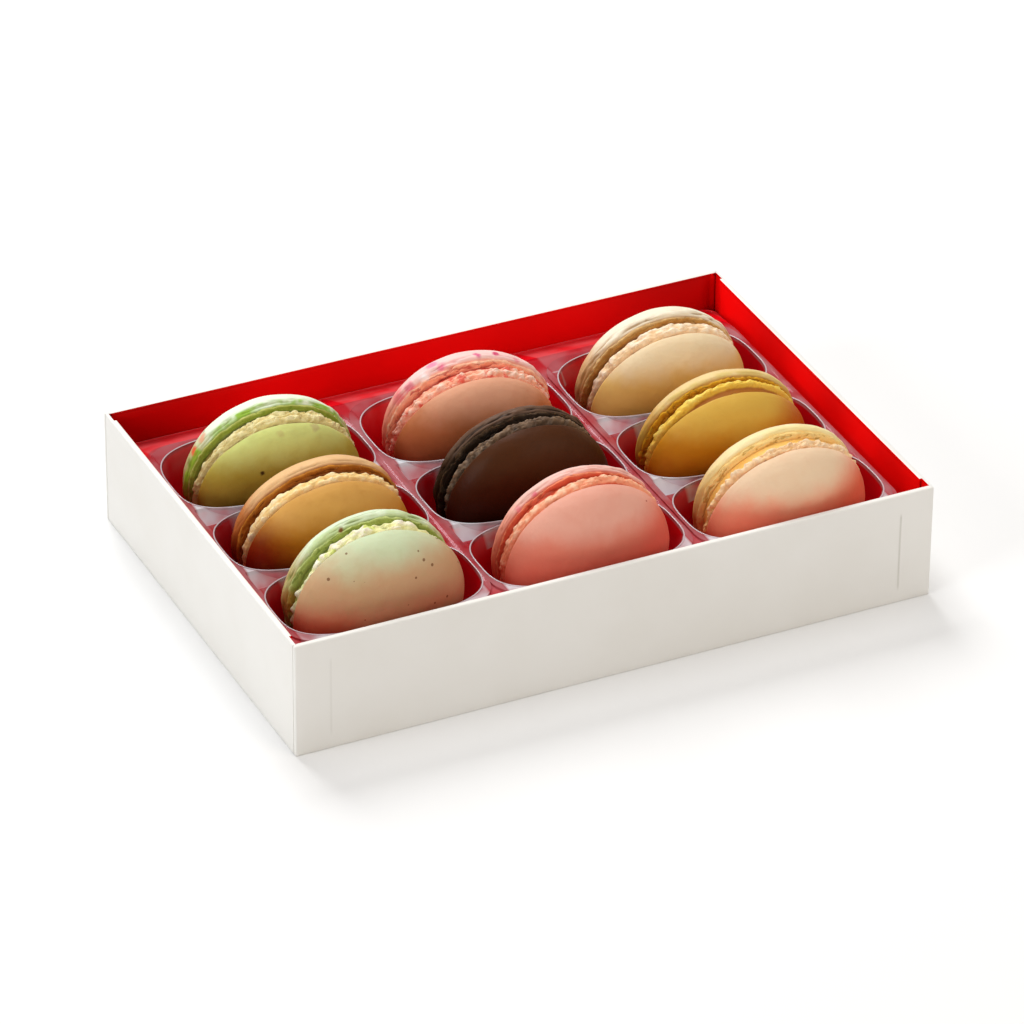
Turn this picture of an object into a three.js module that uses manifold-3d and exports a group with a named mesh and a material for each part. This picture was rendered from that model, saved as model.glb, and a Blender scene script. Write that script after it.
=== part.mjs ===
// Open paperboard gift box with a clear nine-well tray and nine macarons standing on edge.
// Millimetres, +Z up. X runs along the long side, the front wall is at -Y,
// and the origin is the centre of the base.
import * as THREE from "three";
import { mergeVertices } from "three/addons/utils/BufferGeometryUtils.js";
import Module from "manifold-3d";

const wasm = await Module();
wasm.setup();

// Box
const BOX_WIDTH = 180;
const BOX_DEPTH = 124;
const BOX_HEIGHT = 32.7;
const BOARD = 0.8;
const RIM_WIDTH = 1.7;
const RIM_DROP = 0.7;
const RIM_ROUND = 0.5;
const CORNER_NOTCH = 3.6;
const SEAM_SIZE = 0.35;
const SEAM_INSET = 1.2;
const GAP = 0.3;

// Red lining
const LINING_FLOOR_THICK = 0.5;
const LINING_WALL_THICK = 0.6;

// Clear tray
const FILM = 0.45;
const TRAY_TOP = 28;
const LID_TOP = 27.4;
const FLANGE_FOOT = 22;
const SKIRT_FOOT = 2.2;
const TRAY_CLEARANCE = 0.4;
const COLUMN_X = [-58.1, -1.8, 55.3];
const COLUMN_HALF = 28.2;
const COLUMN_CORNER = 9;
const ROW_Y = [
  [26.5, -6.4, -39.2],
  [25.4, -7.8, -40.6],
  [24.1, -9.6, -42.0],
];
const WELL_POINTS = 20;
const BACK_WELL_EXTRA = 3.5;
// height, half width along X, half length along Y, squareness of the outline
const WELL_LEVELS = [
  { z: 2.4, halfX: 11, halfY: 12.6, power: 2.4 },
  { z: 5.2, halfX: 16.8, halfY: 13.8, power: 2.6 },
  { z: 15, halfX: 24.5, halfY: 15.1, power: 3 },
  { z: 28, halfX: 27.2, halfY: 15.9, power: 3.2 },
];
const WELL_CUT_RISE = 1;

// Macarons
const SHELL_SEGMENTS = 24;
const FILLING_HALF = 2.05;
const FOOT_SHARE = 0.3;
const DOME_POWER = 2.2;
const DOME_STEPS = [0.13, 0.38, 0.62, 0.82, 0.95];
const DOME_RADIUS = 0.985;
const WIDER = 0.012;
const LUMPY = 0.004;
const FOOT_RINGS = [
  { radius: 0.9, height: 0, ruffle: 0.3 },
  { radius: 0.965, height: 0.09, ruffle: 1 },
  { radius: 0.99, height: 0.2, ruffle: 1 },
  { radius: 0.955, height: FOOT_SHARE, ruffle: 0.4 },
];
const FILLING_RINGS = [
  { radius: 0.86, height: -1, ragged: 0.4 },
  { radius: 0.93, height: -0.45, ragged: 1 },
  { radius: 0.935, height: 0.45, ragged: 1 },
  { radius: 0.86, height: 1, ragged: 0.4 },
];

// Each macaron: centre, turn about Z and lean of its front face in degrees (minus is forward),
// radius of the back and front shells, whole thickness, size of the ruffles, colours.
const MACARONS = [
  { name: "pistachio", at: [-58.1, 25.6, 26.2], yaw: -3.9, lean: -11.6, back: 23.0, front: 22.9,
    thick: 26.6, ruffle: 0.35, shell: 0xb9bd7c, foot: 0xb9a86a, seed: 11 },
  { name: "caramel", at: [-58.6, -7.6, 26.1], yaw: -2.1, lean: -12.1, back: 22.7, front: 22.9,
    thick: 26.4, ruffle: 0.3, shell: 0xc9924e, foot: 0xe0b368, seed: 23 },
  { name: "mint", at: [-58.6, -39.8, 26.6], yaw: -2.0, lean: -5.0, back: 22.6, front: 23.5,
    thick: 27.4, ruffle: 0.5, shell: 0xc5cfa2, foot: 0xd6c98a, seed: 37 },
  { name: "strawberry", at: [-1.6, 24.6, 26.1], yaw: -6.9, lean: -12.6, back: 23.0, front: 22.8,
    thick: 26.8, ruffle: 0.4, shell: 0xdfa087, foot: 0xe88c63, seed: 41 },
  { name: "chocolate", at: [-2.5, -9.3, 26.8], yaw: -0.9, lean: -7.5, back: 22.6, front: 23.4,
    thick: 25.6, ruffle: 0.6, shell: 0x4a3328, foot: 0x5c4636, seed: 53 },
  { name: "raspberry", at: [-1.2, -41.9, 26.5], yaw: -1.3, lean: -6.5, back: 22.6, front: 23.3,
    thick: 25.8, ruffle: 0.35, shell: 0xdb8a70, foot: 0xef9a6c, seed: 67 },
  { name: "vanilla", at: [53.9, 23.9, 26.1], yaw: -1.8, lean: -12.6, back: 22.6, front: 22.7,
    thick: 27.6, ruffle: 0.4, shell: 0xe6cfa4, foot: 0xd9b27a, seed: 71 },
  { name: "lemon", at: [54.5, -11.3, 26.2], yaw: -3.6, lean: -13.6, back: 22.3, front: 22.8,
    thick: 25.0, ruffle: 0.35, shell: 0xd0a754, foot: 0xdba33c, seed: 83 },
  { name: "apricot", at: [55.1, -43.3, 26.2], yaw: -1.7, lean: -11.8, back: 22.4, front: 22.7,
    thick: 26.3, ruffle: 0.65, shell: 0xe0b590, foot: 0xe6b95f, seed: 97 },
];

const radians = THREE.MathUtils.degToRad;

/** A repeatable value from 0 to 1 for a seed and a counter. */
function chance(seed, counter) {
  const wave = Math.sin(seed * 12.9898 + counter * 78.233) * 43758.5453;
  return wave - Math.floor(wave);
}

/** A closed, indexed geometry through loops of equal length, from the lowest to the highest. */
function loft(loops) {
  const count = loops[0].length;
  const points = loops.flat();
  const index = [];
  for (let level = 0; level < loops.length - 1; level += 1) {
    for (let k = 0; k < count; k += 1) {
      const a = level * count + k;
      const b = level * count + ((k + 1) % count);
      index.push(a, b, b + count, a, b + count, a + count);
    }
  }
  const centres = [loops[0], loops[loops.length - 1]].map((loop) => {
    const middle = new THREE.Vector3();
    loop.forEach((point) => middle.add(point));
    points.push(middle.divideScalar(count));
    return points.length - 1;
  });
  const top = (loops.length - 1) * count;
  for (let k = 0; k < count; k += 1) {
    const next = (k + 1) % count;
    index.push(centres[0], next, k);
    index.push(centres[1], top + k, top + next);
  }
  const geometry = new THREE.BufferGeometry();
  geometry.setFromPoints(points);
  geometry.setIndex(index);
  return geometry;
}

/** A manifold solid from a closed geometry. */
function solidOf(geometry) {
  const bare = geometry.index ? geometry.clone() : geometry;
  bare.deleteAttribute("normal");
  bare.deleteAttribute("uv");
  const merged = mergeVertices(bare, 1e-5);
  return new wasm.Manifold(new wasm.Mesh({
    numProp: 3,
    vertProperties: new Float32Array(merged.attributes.position.array),
    triVerts: new Uint32Array(merged.index.array),
  }));
}

/** A geometry from a manifold solid. */
function geometryOf(solid) {
  const mesh = solid.getMesh();
  const geometry = new THREE.BufferGeometry();
  geometry.setAttribute("position", new THREE.BufferAttribute(mesh.vertProperties, 3));
  geometry.setIndex(new THREE.BufferAttribute(mesh.triVerts, 1));
  return geometry;
}

/** A box between two corners. */
function block(x0, y0, z0, x1, y1, z1) {
  const geometry = new THREE.BoxGeometry(x1 - x0, y1 - y0, z1 - z0);
  geometry.translate((x0 + x1) / 2, (y0 + y1) / 2, (z0 + z1) / 2);
  return geometry;
}

/** A level rectangle as a loop, anticlockwise from above. */
function rectangle(halfX, halfY, z) {
  return [[-1, -1], [1, -1], [1, 1], [-1, 1]].map(
    ([sx, sy]) => new THREE.Vector3(sx * halfX, sy * halfY, z));
}

/** A level rectangle with rounded corners as a loop, anticlockwise from above. */
function roundedRectangle(x0, y0, x1, y1, radius, z, steps = 3) {
  const corners = [
    [x1 - radius, y0 + radius, -90],
    [x1 - radius, y1 - radius, 0],
    [x0 + radius, y1 - radius, 90],
    [x0 + radius, y0 + radius, 180],
  ];
  return corners.flatMap(([cx, cy, start]) => Array.from({ length: steps + 1 }, (_, k) => {
    const angle = radians(start + (90 * k) / steps);
    return new THREE.Vector3(cx + radius * Math.cos(angle), cy + radius * Math.sin(angle), z);
  }));
}

/** A level outline between an ellipse and a rectangle as a loop, anticlockwise from above. */
function softOutline(cx, cy, z, halfX, halfFront, halfBack, power) {
  const reach = (value) => Math.sign(value) * Math.abs(value) ** (2 / power);
  return Array.from({ length: WELL_POINTS }, (_, k) => {
    const angle = (2 * Math.PI * (k + 0.5)) / WELL_POINTS;
    const halfY = Math.sin(angle) > 0 ? halfBack : halfFront;
    return new THREE.Vector3(cx + halfX * reach(Math.cos(angle)), cy + halfY * reach(Math.sin(angle)), z);
  });
}

/** The white board: floor, four walls and the folded-over rim, with corner seams and notches. */
function boardGeometry() {
  const x = BOX_WIDTH / 2;
  const y = BOX_DEPTH / 2;
  const rimFoot = BOX_HEIGHT - RIM_DROP;
  const profile = [
    [0, 0],
    [0, BOX_HEIGHT - RIM_ROUND],
    [RIM_ROUND, BOX_HEIGHT],
    [RIM_WIDTH - RIM_ROUND, BOX_HEIGHT],
    [RIM_WIDTH, BOX_HEIGHT - RIM_ROUND],
    [RIM_WIDTH, rimFoot],
    [BOARD, rimFoot],
    [BOARD, BOARD],
  ];
  let board = solidOf(loft(profile.map(([inset, z]) => rectangle(x - inset, y - inset, z))));
  const reach = 1;
  for (const sx of [-1, 1]) {
    for (const sy of [-1, 1]) {
      const seamY = sy * (y - SEAM_INSET);
      const outerX = sx * (x - SEAM_SIZE);
      const farX = sx * (x + reach);
      board = board.subtract(solidOf(block(
        Math.min(outerX, farX), seamY - SEAM_SIZE / 2, -reach,
        Math.max(outerX, farX), seamY + SEAM_SIZE / 2, BOX_HEIGHT + reach)));
      const nearX = sx * (x - RIM_WIDTH - reach);
      const cornerX = sx * (x - BOARD);
      const nearY = sy * (y - RIM_WIDTH - CORNER_NOTCH);
      const cornerY = sy * (y - RIM_WIDTH);
      board = board.subtract(solidOf(block(
        Math.min(nearX, cornerX), Math.min(nearY, cornerY), rimFoot - reach,
        Math.max(nearX, cornerX), Math.max(nearY, cornerY), BOX_HEIGHT + reach)));
    }
  }
  return geometryOf(board);
}

/** The nine wells as solids, grown outward by the film where asked. */
function wellSolids(grow) {
  return COLUMN_X.flatMap((cx, column) => ROW_Y[column].map((cy, row) => {
    const extra = row === 0 ? BACK_WELL_EXTRA : 0;
    const loops = WELL_LEVELS.map(({ z, halfX, halfY, power }, level) => softOutline(
      cx, cy, level === 0 ? z - grow : z, halfX + grow, halfY + grow,
      halfY + grow + (extra * level) / (WELL_LEVELS.length - 1), power));
    const rim = loops[loops.length - 1];
    if (grow) {
      rim.forEach((point) => point.setZ(TRAY_TOP - FILM / 2));
    } else {
      loops.push(rim.map((point) => point.clone().setZ(TRAY_TOP + WELL_CUT_RISE)));
    }
    return solidOf(loft(loops));
  }));
}

/** One stage of the tray's cover: lid, sloping flange and skirt, drawn in by a wall thickness. */
function coverSolid(inset, foot) {
  const left = COLUMN_X[0] - COLUMN_HALF - 0.4 + inset;
  const right = COLUMN_X[2] + COLUMN_HALF + 1 - inset;
  const front = ROW_Y[2][2] - WELL_LEVELS[3].halfY - 0.6 + inset;
  const back = ROW_Y[0][0] + WELL_LEVELS[3].halfY + BACK_WELL_EXTRA + 1.6 - inset;
  const wallX = BOX_WIDTH / 2 - RIM_WIDTH - TRAY_CLEARANCE - inset;
  const wallY = BOX_DEPTH / 2 - RIM_WIDTH - TRAY_CLEARANCE - inset;
  return solidOf(loft([
    roundedRectangle(-wallX, -wallY, wallX, wallY, 4, foot),
    roundedRectangle(-wallX, -wallY, wallX, wallY, 4, FLANGE_FOOT - inset / 2),
    roundedRectangle(left, front, right, back, 8, LID_TOP - inset),
  ]));
}

/** The clear tray: cover, raised column tops and nine thin wells. */
function trayGeometry() {
  const skirtCut = 1;
  let tray = coverSolid(0, SKIRT_FOOT).subtract(coverSolid(FILM, SKIRT_FOOT - skirtCut));
  COLUMN_X.forEach((cx, column) => {
    const rows = ROW_Y[column];
    const front = rows[2] - WELL_LEVELS[3].halfY - 0.6;
    const back = rows[0] + WELL_LEVELS[3].halfY + BACK_WELL_EXTRA + 1;
    const outline = [cx - COLUMN_HALF, front, cx + COLUMN_HALF, back, COLUMN_CORNER];
    tray = tray.add(solidOf(loft([
      roundedRectangle(...outline, LID_TOP - FILM / 2),
      roundedRectangle(...outline, TRAY_TOP),
    ])));
  });
  for (const well of wellSolids(FILM)) {
    tray = tray.add(well);
  }
  for (const well of wellSolids(0)) {
    tray = tray.subtract(well);
  }
  return geometryOf(tray);
}

/** Rings about the local Z axis closed by a point at each end, as one solid. */
function turned(rings, low, high) {
  const loops = rings.map((ring) => Array.from({ length: SHELL_SEGMENTS }, (_, k) => {
    const angle = (2 * Math.PI * k) / SHELL_SEGMENTS;
    const radius = ring.radiusAt(angle, k);
    return new THREE.Vector3(radius * Math.cos(angle), radius * Math.sin(angle), ring.heightAt(k));
  }));
  const geometry = loft(loops);
  const position = geometry.attributes.position;
  position.setZ(position.count - 2, low);
  position.setZ(position.count - 1, high);
  return geometry;
}

/** A slow out-of-round swell, as a share of the radius: a little wider than tall. */
function swell(seed, angle) {
  const turn = chance(seed, 1) - 0.5;
  const second = 2 * Math.PI * chance(seed, 2);
  return 1 + WIDER * Math.cos(2 * angle + turn) + LUMPY * Math.cos(3 * angle + second);
}

/** One baked shell: flat inner face, ruffled foot and smooth dome, along local +Z. */
function shellGeometry(radius, height, ruffle, seed) {
  const foot = FOOT_RINGS.map((ring, row) => ({
    radiusAt: (angle, k) => radius * ring.radius * swell(seed, angle)
      + ruffle * ring.ruffle * (2 * chance(seed, 40 * row + k) - 1),
    heightAt: (k) => height * ring.height * (1 + 0.12 * (2 * chance(seed, 40 * row + k + 7) - 1)),
  }));
  const domeFoot = height * FOOT_SHARE;
  const dome = DOME_STEPS.map((step) => ({
    radiusAt: (angle) => radius * DOME_RADIUS * swell(seed, angle)
      * (1 - step ** DOME_POWER) ** (1 / DOME_POWER),
    heightAt: () => domeFoot + (height - domeFoot) * step,
  }));
  return turned([...foot, ...dome], 0, height);
}

/** The ragged cream between the shells, centred on local Z = 0. */
function fillingGeometry(radius, ruffle, seed) {
  const rings = FILLING_RINGS.map((ring, row) => ({
    radiusAt: (angle, k) => radius * ring.radius * swell(seed, angle)
      + ruffle * ring.ragged * (2 * chance(seed + 5, 40 * row + k) - 1),
    heightAt: () => FILLING_HALF * ring.height,
  }));
  return turned(rings, -FILLING_HALF, FILLING_HALF);
}

/** A named mesh with its own plain material. */
function piece(name, geometry, color, roughness, extra = {}) {
  const material = new THREE.MeshStandardMaterial({ color, roughness, metalness: 0, ...extra });
  const mesh = new THREE.Mesh(geometry, material);
  mesh.name = name;
  return mesh;
}

/** One macaron as a group of back shell, filling and front shell, standing on edge. */
function macaron({ name, at, yaw, lean, back, front, thick, ruffle, shell, foot, seed }) {
  const group = new THREE.Group();
  const start = FILLING_HALF + GAP;
  const height = thick / 2 - start;
  const frontShell = piece(`${name}_macaron_front_shell`,
    shellGeometry(front, height, ruffle, seed), shell, 0.62);
  frontShell.position.z = start;
  const backShell = piece(`${name}_macaron_back_shell`,
    shellGeometry(back, height, ruffle, seed + 1), shell, 0.62);
  backShell.rotation.x = Math.PI;
  backShell.position.z = -start;
  const filling = piece(`${name}_macaron_filling`,
    fillingGeometry(Math.min(back, front), ruffle, seed + 2), foot, 0.7);
  group.add(backShell, filling, frontShell);
  group.position.set(...at);
  group.rotation.set(Math.PI / 2 - radians(lean), 0, radians(yaw), "ZYX");
  return group;
}

/** The red lining: a floor sheet and one inner panel against each wall. */
function liningPieces() {
  const x = BOX_WIDTH / 2;
  const y = BOX_DEPTH / 2;
  const outer = BOARD + GAP;
  const inner = outer + LINING_WALL_THICK;
  const floorFoot = BOARD + GAP;
  const floorTop = floorFoot + LINING_FLOOR_THICK;
  const foot = floorTop + GAP;
  const top = BOX_HEIGHT - RIM_DROP - GAP;
  const longEnd = x - outer;
  const shortEnd = y - RIM_WIDTH - CORNER_NOTCH;
  const red = 0xb80d10;
  return [
    piece("red_lining_floor",
      block(-(x - outer), -(y - outer), floorFoot, x - outer, y - outer, floorTop), red, 0.42),
    piece("red_lining_back", block(-longEnd, y - inner, foot, longEnd, y - outer, top), red, 0.42),
    piece("red_lining_front", block(-longEnd, -(y - outer), foot, longEnd, -(y - inner), top), red, 0.42),
    piece("red_lining_left", block(-(x - outer), -shortEnd, foot, -(x - inner), shortEnd, top), red, 0.42),
    piece("red_lining_right", block(x - inner, -shortEnd, foot, x - outer, shortEnd, top), red, 0.42),
  ];
}

const box = new THREE.Group();
box.add(piece("white_paperboard_box", boardGeometry(), 0xe8e6df, 0.55));
box.add(...liningPieces());
box.add(piece("clear_tray", trayGeometry(), 0xf4f2f2, 0.08, { transparent: true, opacity: 0.3 }));
box.add(...MACARONS.map(macaron));

export default box;
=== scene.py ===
"""Open paperboard gift box of macarons: the looks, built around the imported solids.

Lengths in this file are millimetres until a mesh is made, and metres in Blender.
X runs along the long side, the front wall is at -Y, Z is up.
"""

import logging
import math
from dataclasses import dataclass, field, replace
from enum import Enum
from typing import Any, Iterable, Sequence

import bmesh
import bpy
import numpy as np
from mathutils import Matrix, Vector


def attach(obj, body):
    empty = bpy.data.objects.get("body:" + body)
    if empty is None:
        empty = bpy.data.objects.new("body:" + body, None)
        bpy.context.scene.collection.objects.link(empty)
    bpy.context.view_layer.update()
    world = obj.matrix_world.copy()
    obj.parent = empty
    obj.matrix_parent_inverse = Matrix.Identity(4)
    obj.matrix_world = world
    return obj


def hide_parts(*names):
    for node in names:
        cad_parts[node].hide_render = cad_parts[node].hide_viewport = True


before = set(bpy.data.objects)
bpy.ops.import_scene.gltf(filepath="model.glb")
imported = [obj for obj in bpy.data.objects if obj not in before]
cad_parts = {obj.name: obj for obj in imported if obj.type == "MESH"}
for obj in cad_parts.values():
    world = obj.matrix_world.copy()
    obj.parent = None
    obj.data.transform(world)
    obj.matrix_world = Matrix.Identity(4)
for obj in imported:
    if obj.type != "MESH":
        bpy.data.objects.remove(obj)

logging.basicConfig(level=logging.INFO, format="%(message)s")
LOG = logging.getLogger("gift_box")

Tree = bpy.types.NodeTree
Socket = bpy.types.NodeSocket
Material = bpy.types.Material
Piece = bpy.types.Object

MM = 0.001
BODY = "root"
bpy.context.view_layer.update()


# Small helpers


def linear(hex_colour: str) -> tuple[float, float, float, float]:
    """Turn an sRGB hex colour into linear red, green, blue and alpha.

    Args:
        hex_colour: six hex digits, such as "E8E6DF".

    Returns:
        The linear colour with an alpha of 1.
    """
    parts = [int(hex_colour[k : k + 2], 16) / 255 for k in (0, 2, 4)]
    red, green, blue = (c / 12.92 if c <= 0.04045 else ((c + 0.055) / 1.055) ** 2.4 for c in parts)
    return red, green, blue, 1.0


def add(tree: Tree, kind: str, inputs: dict[Any, Any] | None = None, **settings: Any) -> bpy.types.Node:
    """Add a node with its settings, and set or link its inputs.

    Args:
        tree: the node tree that gets the node.
        kind: the node's type name.
        inputs: socket name or number to a value, or to the socket that feeds it.
        **settings: the node's own properties.

    Returns:
        The new node.
    """
    node = tree.nodes.new(kind)
    for name, value in settings.items():
        setattr(node, name, value)
    for key, value in (inputs or {}).items():
        if isinstance(value, Socket):
            tree.links.new(value, node.inputs[key])
        else:
            node.inputs[key].default_value = value
    return node


def mesh_of(name: str, points: np.ndarray, faces: Sequence[Sequence[int]]) -> Piece:
    """Make a smooth-shaded object from points in millimetres.

    Args:
        name: the object's name.
        points: one row of x, y, z for each vertex, in millimetres.
        faces: vertex numbers of each face.

    Returns:
        The object, linked to the scene, with its place in its mesh.
    """
    mesh = bpy.data.meshes.new(name)
    mesh.from_pydata((np.asarray(points) * MM).tolist(), [], [list(f) for f in faces])
    mesh.update()
    mesh.shade_smooth()
    made = bpy.data.objects.new(name, mesh)
    bpy.context.scene.collection.objects.link(made)
    return made


def stacked_faces(levels: int, count: int, first_cap: bool, last_cap: bool) -> list:
    """Faces that join loops of equal length, one above the other.

    Args:
        levels: how many loops there are.
        count: points in each loop.
        first_cap: True if the first loop is closed by one face.
        last_cap: True if the last loop is closed by one face.

    Returns:
        The faces, as lists of vertex numbers.
    """
    faces = []
    for level in range(levels - 1):
        for k in range(count):
            a = level * count + k
            b = level * count + (k + 1) % count
            faces.append([a, b, b + count, a + count])
    if first_cap:
        faces.append(list(range(count))[::-1])
    if last_cap:
        faces.append([(levels - 1) * count + k for k in range(count)])
    return faces


def smooth_curve(points: Sequence[tuple[float, float]], steps: int) -> np.ndarray:
    """A smooth line through points in a plane.

    Args:
        points: the points it passes through.
        steps: stations between two neighbouring points.

    Returns:
        One row for each station.
    """
    p = np.asarray(points, float)
    p = np.vstack([2 * p[0] - p[1], p, 2 * p[-1] - p[-2]])
    rows = []
    for k in range(1, len(p) - 2):
        for t in np.arange(steps) / steps:
            rows.append(
                0.5
                * (
                    2 * p[k] + (p[k + 1] - p[k - 1]) * t
                    + (2 * p[k - 1] - 5 * p[k] + 4 * p[k + 1] - p[k + 2]) * t**2
                    + (3 * p[k] - p[k - 1] - 3 * p[k + 1] + p[k + 2]) * t**3
                )
            )
    rows.append(p[-2])
    return np.array(rows)


def plain_mesh(made: Piece) -> None:
    """Turn what an object's modifiers make into its own mesh, and drop them.

    Args:
        made: the object.
    """
    graph = bpy.context.evaluated_depsgraph_get()
    graph.update()
    done = bpy.data.meshes.new_from_object(made.evaluated_get(graph), depsgraph=graph)
    made.modifiers.clear()
    made.data = done
    done.name = made.name


def hand_over(made: Piece, node: str) -> None:
    """Fix a finished piece to the body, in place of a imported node.

    Args:
        made: the finished piece.
        node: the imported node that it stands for.
    """
    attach(made, BODY)
    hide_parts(node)
    LOG.info("%s: %d faces", made.name, len(made.data.polygons))


# Finishes


def millimetres(tree: Tree) -> Socket:
    """The object's own coordinates in millimetres, as a socket."""
    place = add(tree, "ShaderNodeTexCoord").outputs["Object"]
    return add(tree, "ShaderNodeVectorMath", {0: place, "Scale": 1 / MM}, operation="SCALE").outputs[0]


def new_material(name: str) -> tuple[Material, Tree]:
    """An empty node material and its tree.

    Args:
        name: the material's name.

    Returns:
        The material and its node tree.
    """
    material = bpy.data.materials.new(name)
    material.use_nodes = True
    material.node_tree.nodes.clear()
    return material, material.node_tree


def blend(tree: Tree, share: Any, first: Any, second: Any) -> Socket:
    """Mix two colours, each a socket or a hex colour, by a share from 0 to 1.

    Args:
        tree: the node tree.
        share: 0 for the first colour, 1 for the second.
        first: a colour.
        second: the other colour.

    Returns:
        The mixed colour's socket.
    """
    first, second = (linear(c) if isinstance(c, str) else c for c in (first, second))
    mixed = add(tree, "ShaderNodeMix", {0: share, 6: first, 7: second}, data_type="RGBA")
    return mixed.outputs[2]


def spread(tree: Tree, value: Any, low: float, high: float, top: float = 1.0) -> Socket:
    """Spread a value from low to high over 0 to top, smoothly and clamped."""
    return add(
        tree, "ShaderNodeMapRange",
        {"Value": value, "From Min": low, "From Max": high, "To Min": 0, "To Max": top},
        interpolation_type="SMOOTHSTEP",
    ).outputs[0]


def scaled(tree: Tree, value: Any, start: Any, end: Any, low: float = 0.0, high: float = 1.0) -> Socket:
    """Turn a value from low to high into one from start to end, clamped."""
    inputs = {"Value": value, "From Min": low, "From Max": high, "To Min": start, "To Max": end}
    return add(tree, "ShaderNodeMapRange", inputs).outputs[0]


def maths(tree: Tree, operation: str, *values: Any) -> Socket:
    """Calculate one value from others."""
    return add(tree, "ShaderNodeMath", dict(enumerate(values)), operation=operation).outputs[0]


def noise(tree: Tree, place: Any, size_mm: float, detail: float) -> Socket:
    """A cloudy value from 0 to 1 whose patches have about the given size."""
    inputs = {"Vector": place, "Scale": 1 / size_mm, "Detail": detail}
    return add(tree, "ShaderNodeTexNoise", inputs).outputs[0]


def raised(tree: Tree, height: Any, strength: Any, metres: float, under: Any = None) -> Socket:
    """Bump a surface by a height, on top of another bump where one is given.

    Args:
        tree: the node tree.
        height: the height's socket.
        strength: the bump's strength.
        metres: the height's real size.
        under: the bump below this one.

    Returns:
        The bumped normal's socket.
    """
    inputs = {"Strength": strength, "Distance": metres, "Height": height}
    if under is not None:
        inputs["Normal"] = under
    return add(tree, "ShaderNodeBump", inputs).outputs[0]


def principled(tree: Tree, inputs: dict[str, Any]) -> None:
    """End a material in one Principled surface."""
    shader = add(tree, "ShaderNodeBsdfPrincipled", inputs)
    add(tree, "ShaderNodeOutputMaterial", {"Surface": shader.outputs[0]})


def times(tree: Tree, *values: Any) -> Socket:
    """Multiply two or more values.

    Args:
        tree: the node tree.
        *values: sockets or numbers.

    Returns:
        The product's socket.
    """
    product = values[0]
    for value in values[1:]:
        product = maths(tree, "MULTIPLY", product, value)
    return product


@dataclass(frozen=True)
class BoardFinish:
    """Clay-coated solid white paperboard, machine folded.

    The coating gives a smooth, nearly matt face with a faint fibre mottle. Two thin creases
    are pressed into the front wall, and grey painted shade is laid along them for the shade
    in their grooves. Each crease has its place along X and its depth; the pairs of heights
    and widths are where it fades.
    """

    face: str = "E9E7E2"
    shade: str = "E2DFD8"
    # grey painted shade for the two pressed creases
    crease: str = "B9B5AA"
    creases: tuple[tuple[float, float], ...] = ((80.6, 1.0), (-80.2, 0.3))
    crease_half: tuple[float, float] = (0.12, 0.42)
    crease_foot: tuple[float, float] = (3.0, 5.5)
    crease_head: tuple[float, float] = (27.5, 25.5)
    front_face: tuple[float, float] = (-61.2, -61.7)
    mottle_mm: float = 26.0
    fibre_mm: float = 0.7
    roughness: float = 0.5

    def build(self) -> Material:
        """Make the material, with two creases pressed into the front wall and painted shade along them.

        Returns:
            The material.
        """
        material, tree = new_material("coated_white_paperboard_folded")
        place = millimetres(tree)
        mottle = noise(tree, place, self.mottle_mm, 3.0)
        fibre = noise(tree, place, self.fibre_mm, 4.0)
        colour = blend(tree, spread(tree, mottle, 0.3, 0.75, 0.55), self.face, self.shade)
        split = add(tree, "ShaderNodeSeparateXYZ", {0: place})
        creases = None
        for at, depth in self.creases:
            off = maths(tree, "SUBTRACT", split.outputs[0], at)
            near = maths(tree, "ABSOLUTE", off)
            line = scaled(tree, near, depth, 0.0, *self.crease_half)
            creases = line if creases is None else maths(tree, "MAXIMUM", creases, line)
        on_front = spread(tree, split.outputs[1], *self.front_face)
        low_end = spread(tree, split.outputs[2], *self.crease_foot)
        high_end = spread(tree, split.outputs[2], *self.crease_head)
        pressed = times(tree, creases, on_front, low_end, high_end)
        # painted shade: the pressed creases are greyed as if shaded in their grooves
        colour = blend(tree, times(tree, pressed, 0.5), colour, self.crease)
        height = maths(tree, "SUBTRACT", fibre, times(tree, pressed, 3.0))
        bump = raised(tree, height, 0.12, 0.0001)
        shine = scaled(tree, fibre, self.roughness - 0.06, self.roughness + 0.08)
        principled(tree, {"Base Color": colour, "Roughness": shine, "Normal": bump})
        return material


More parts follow.
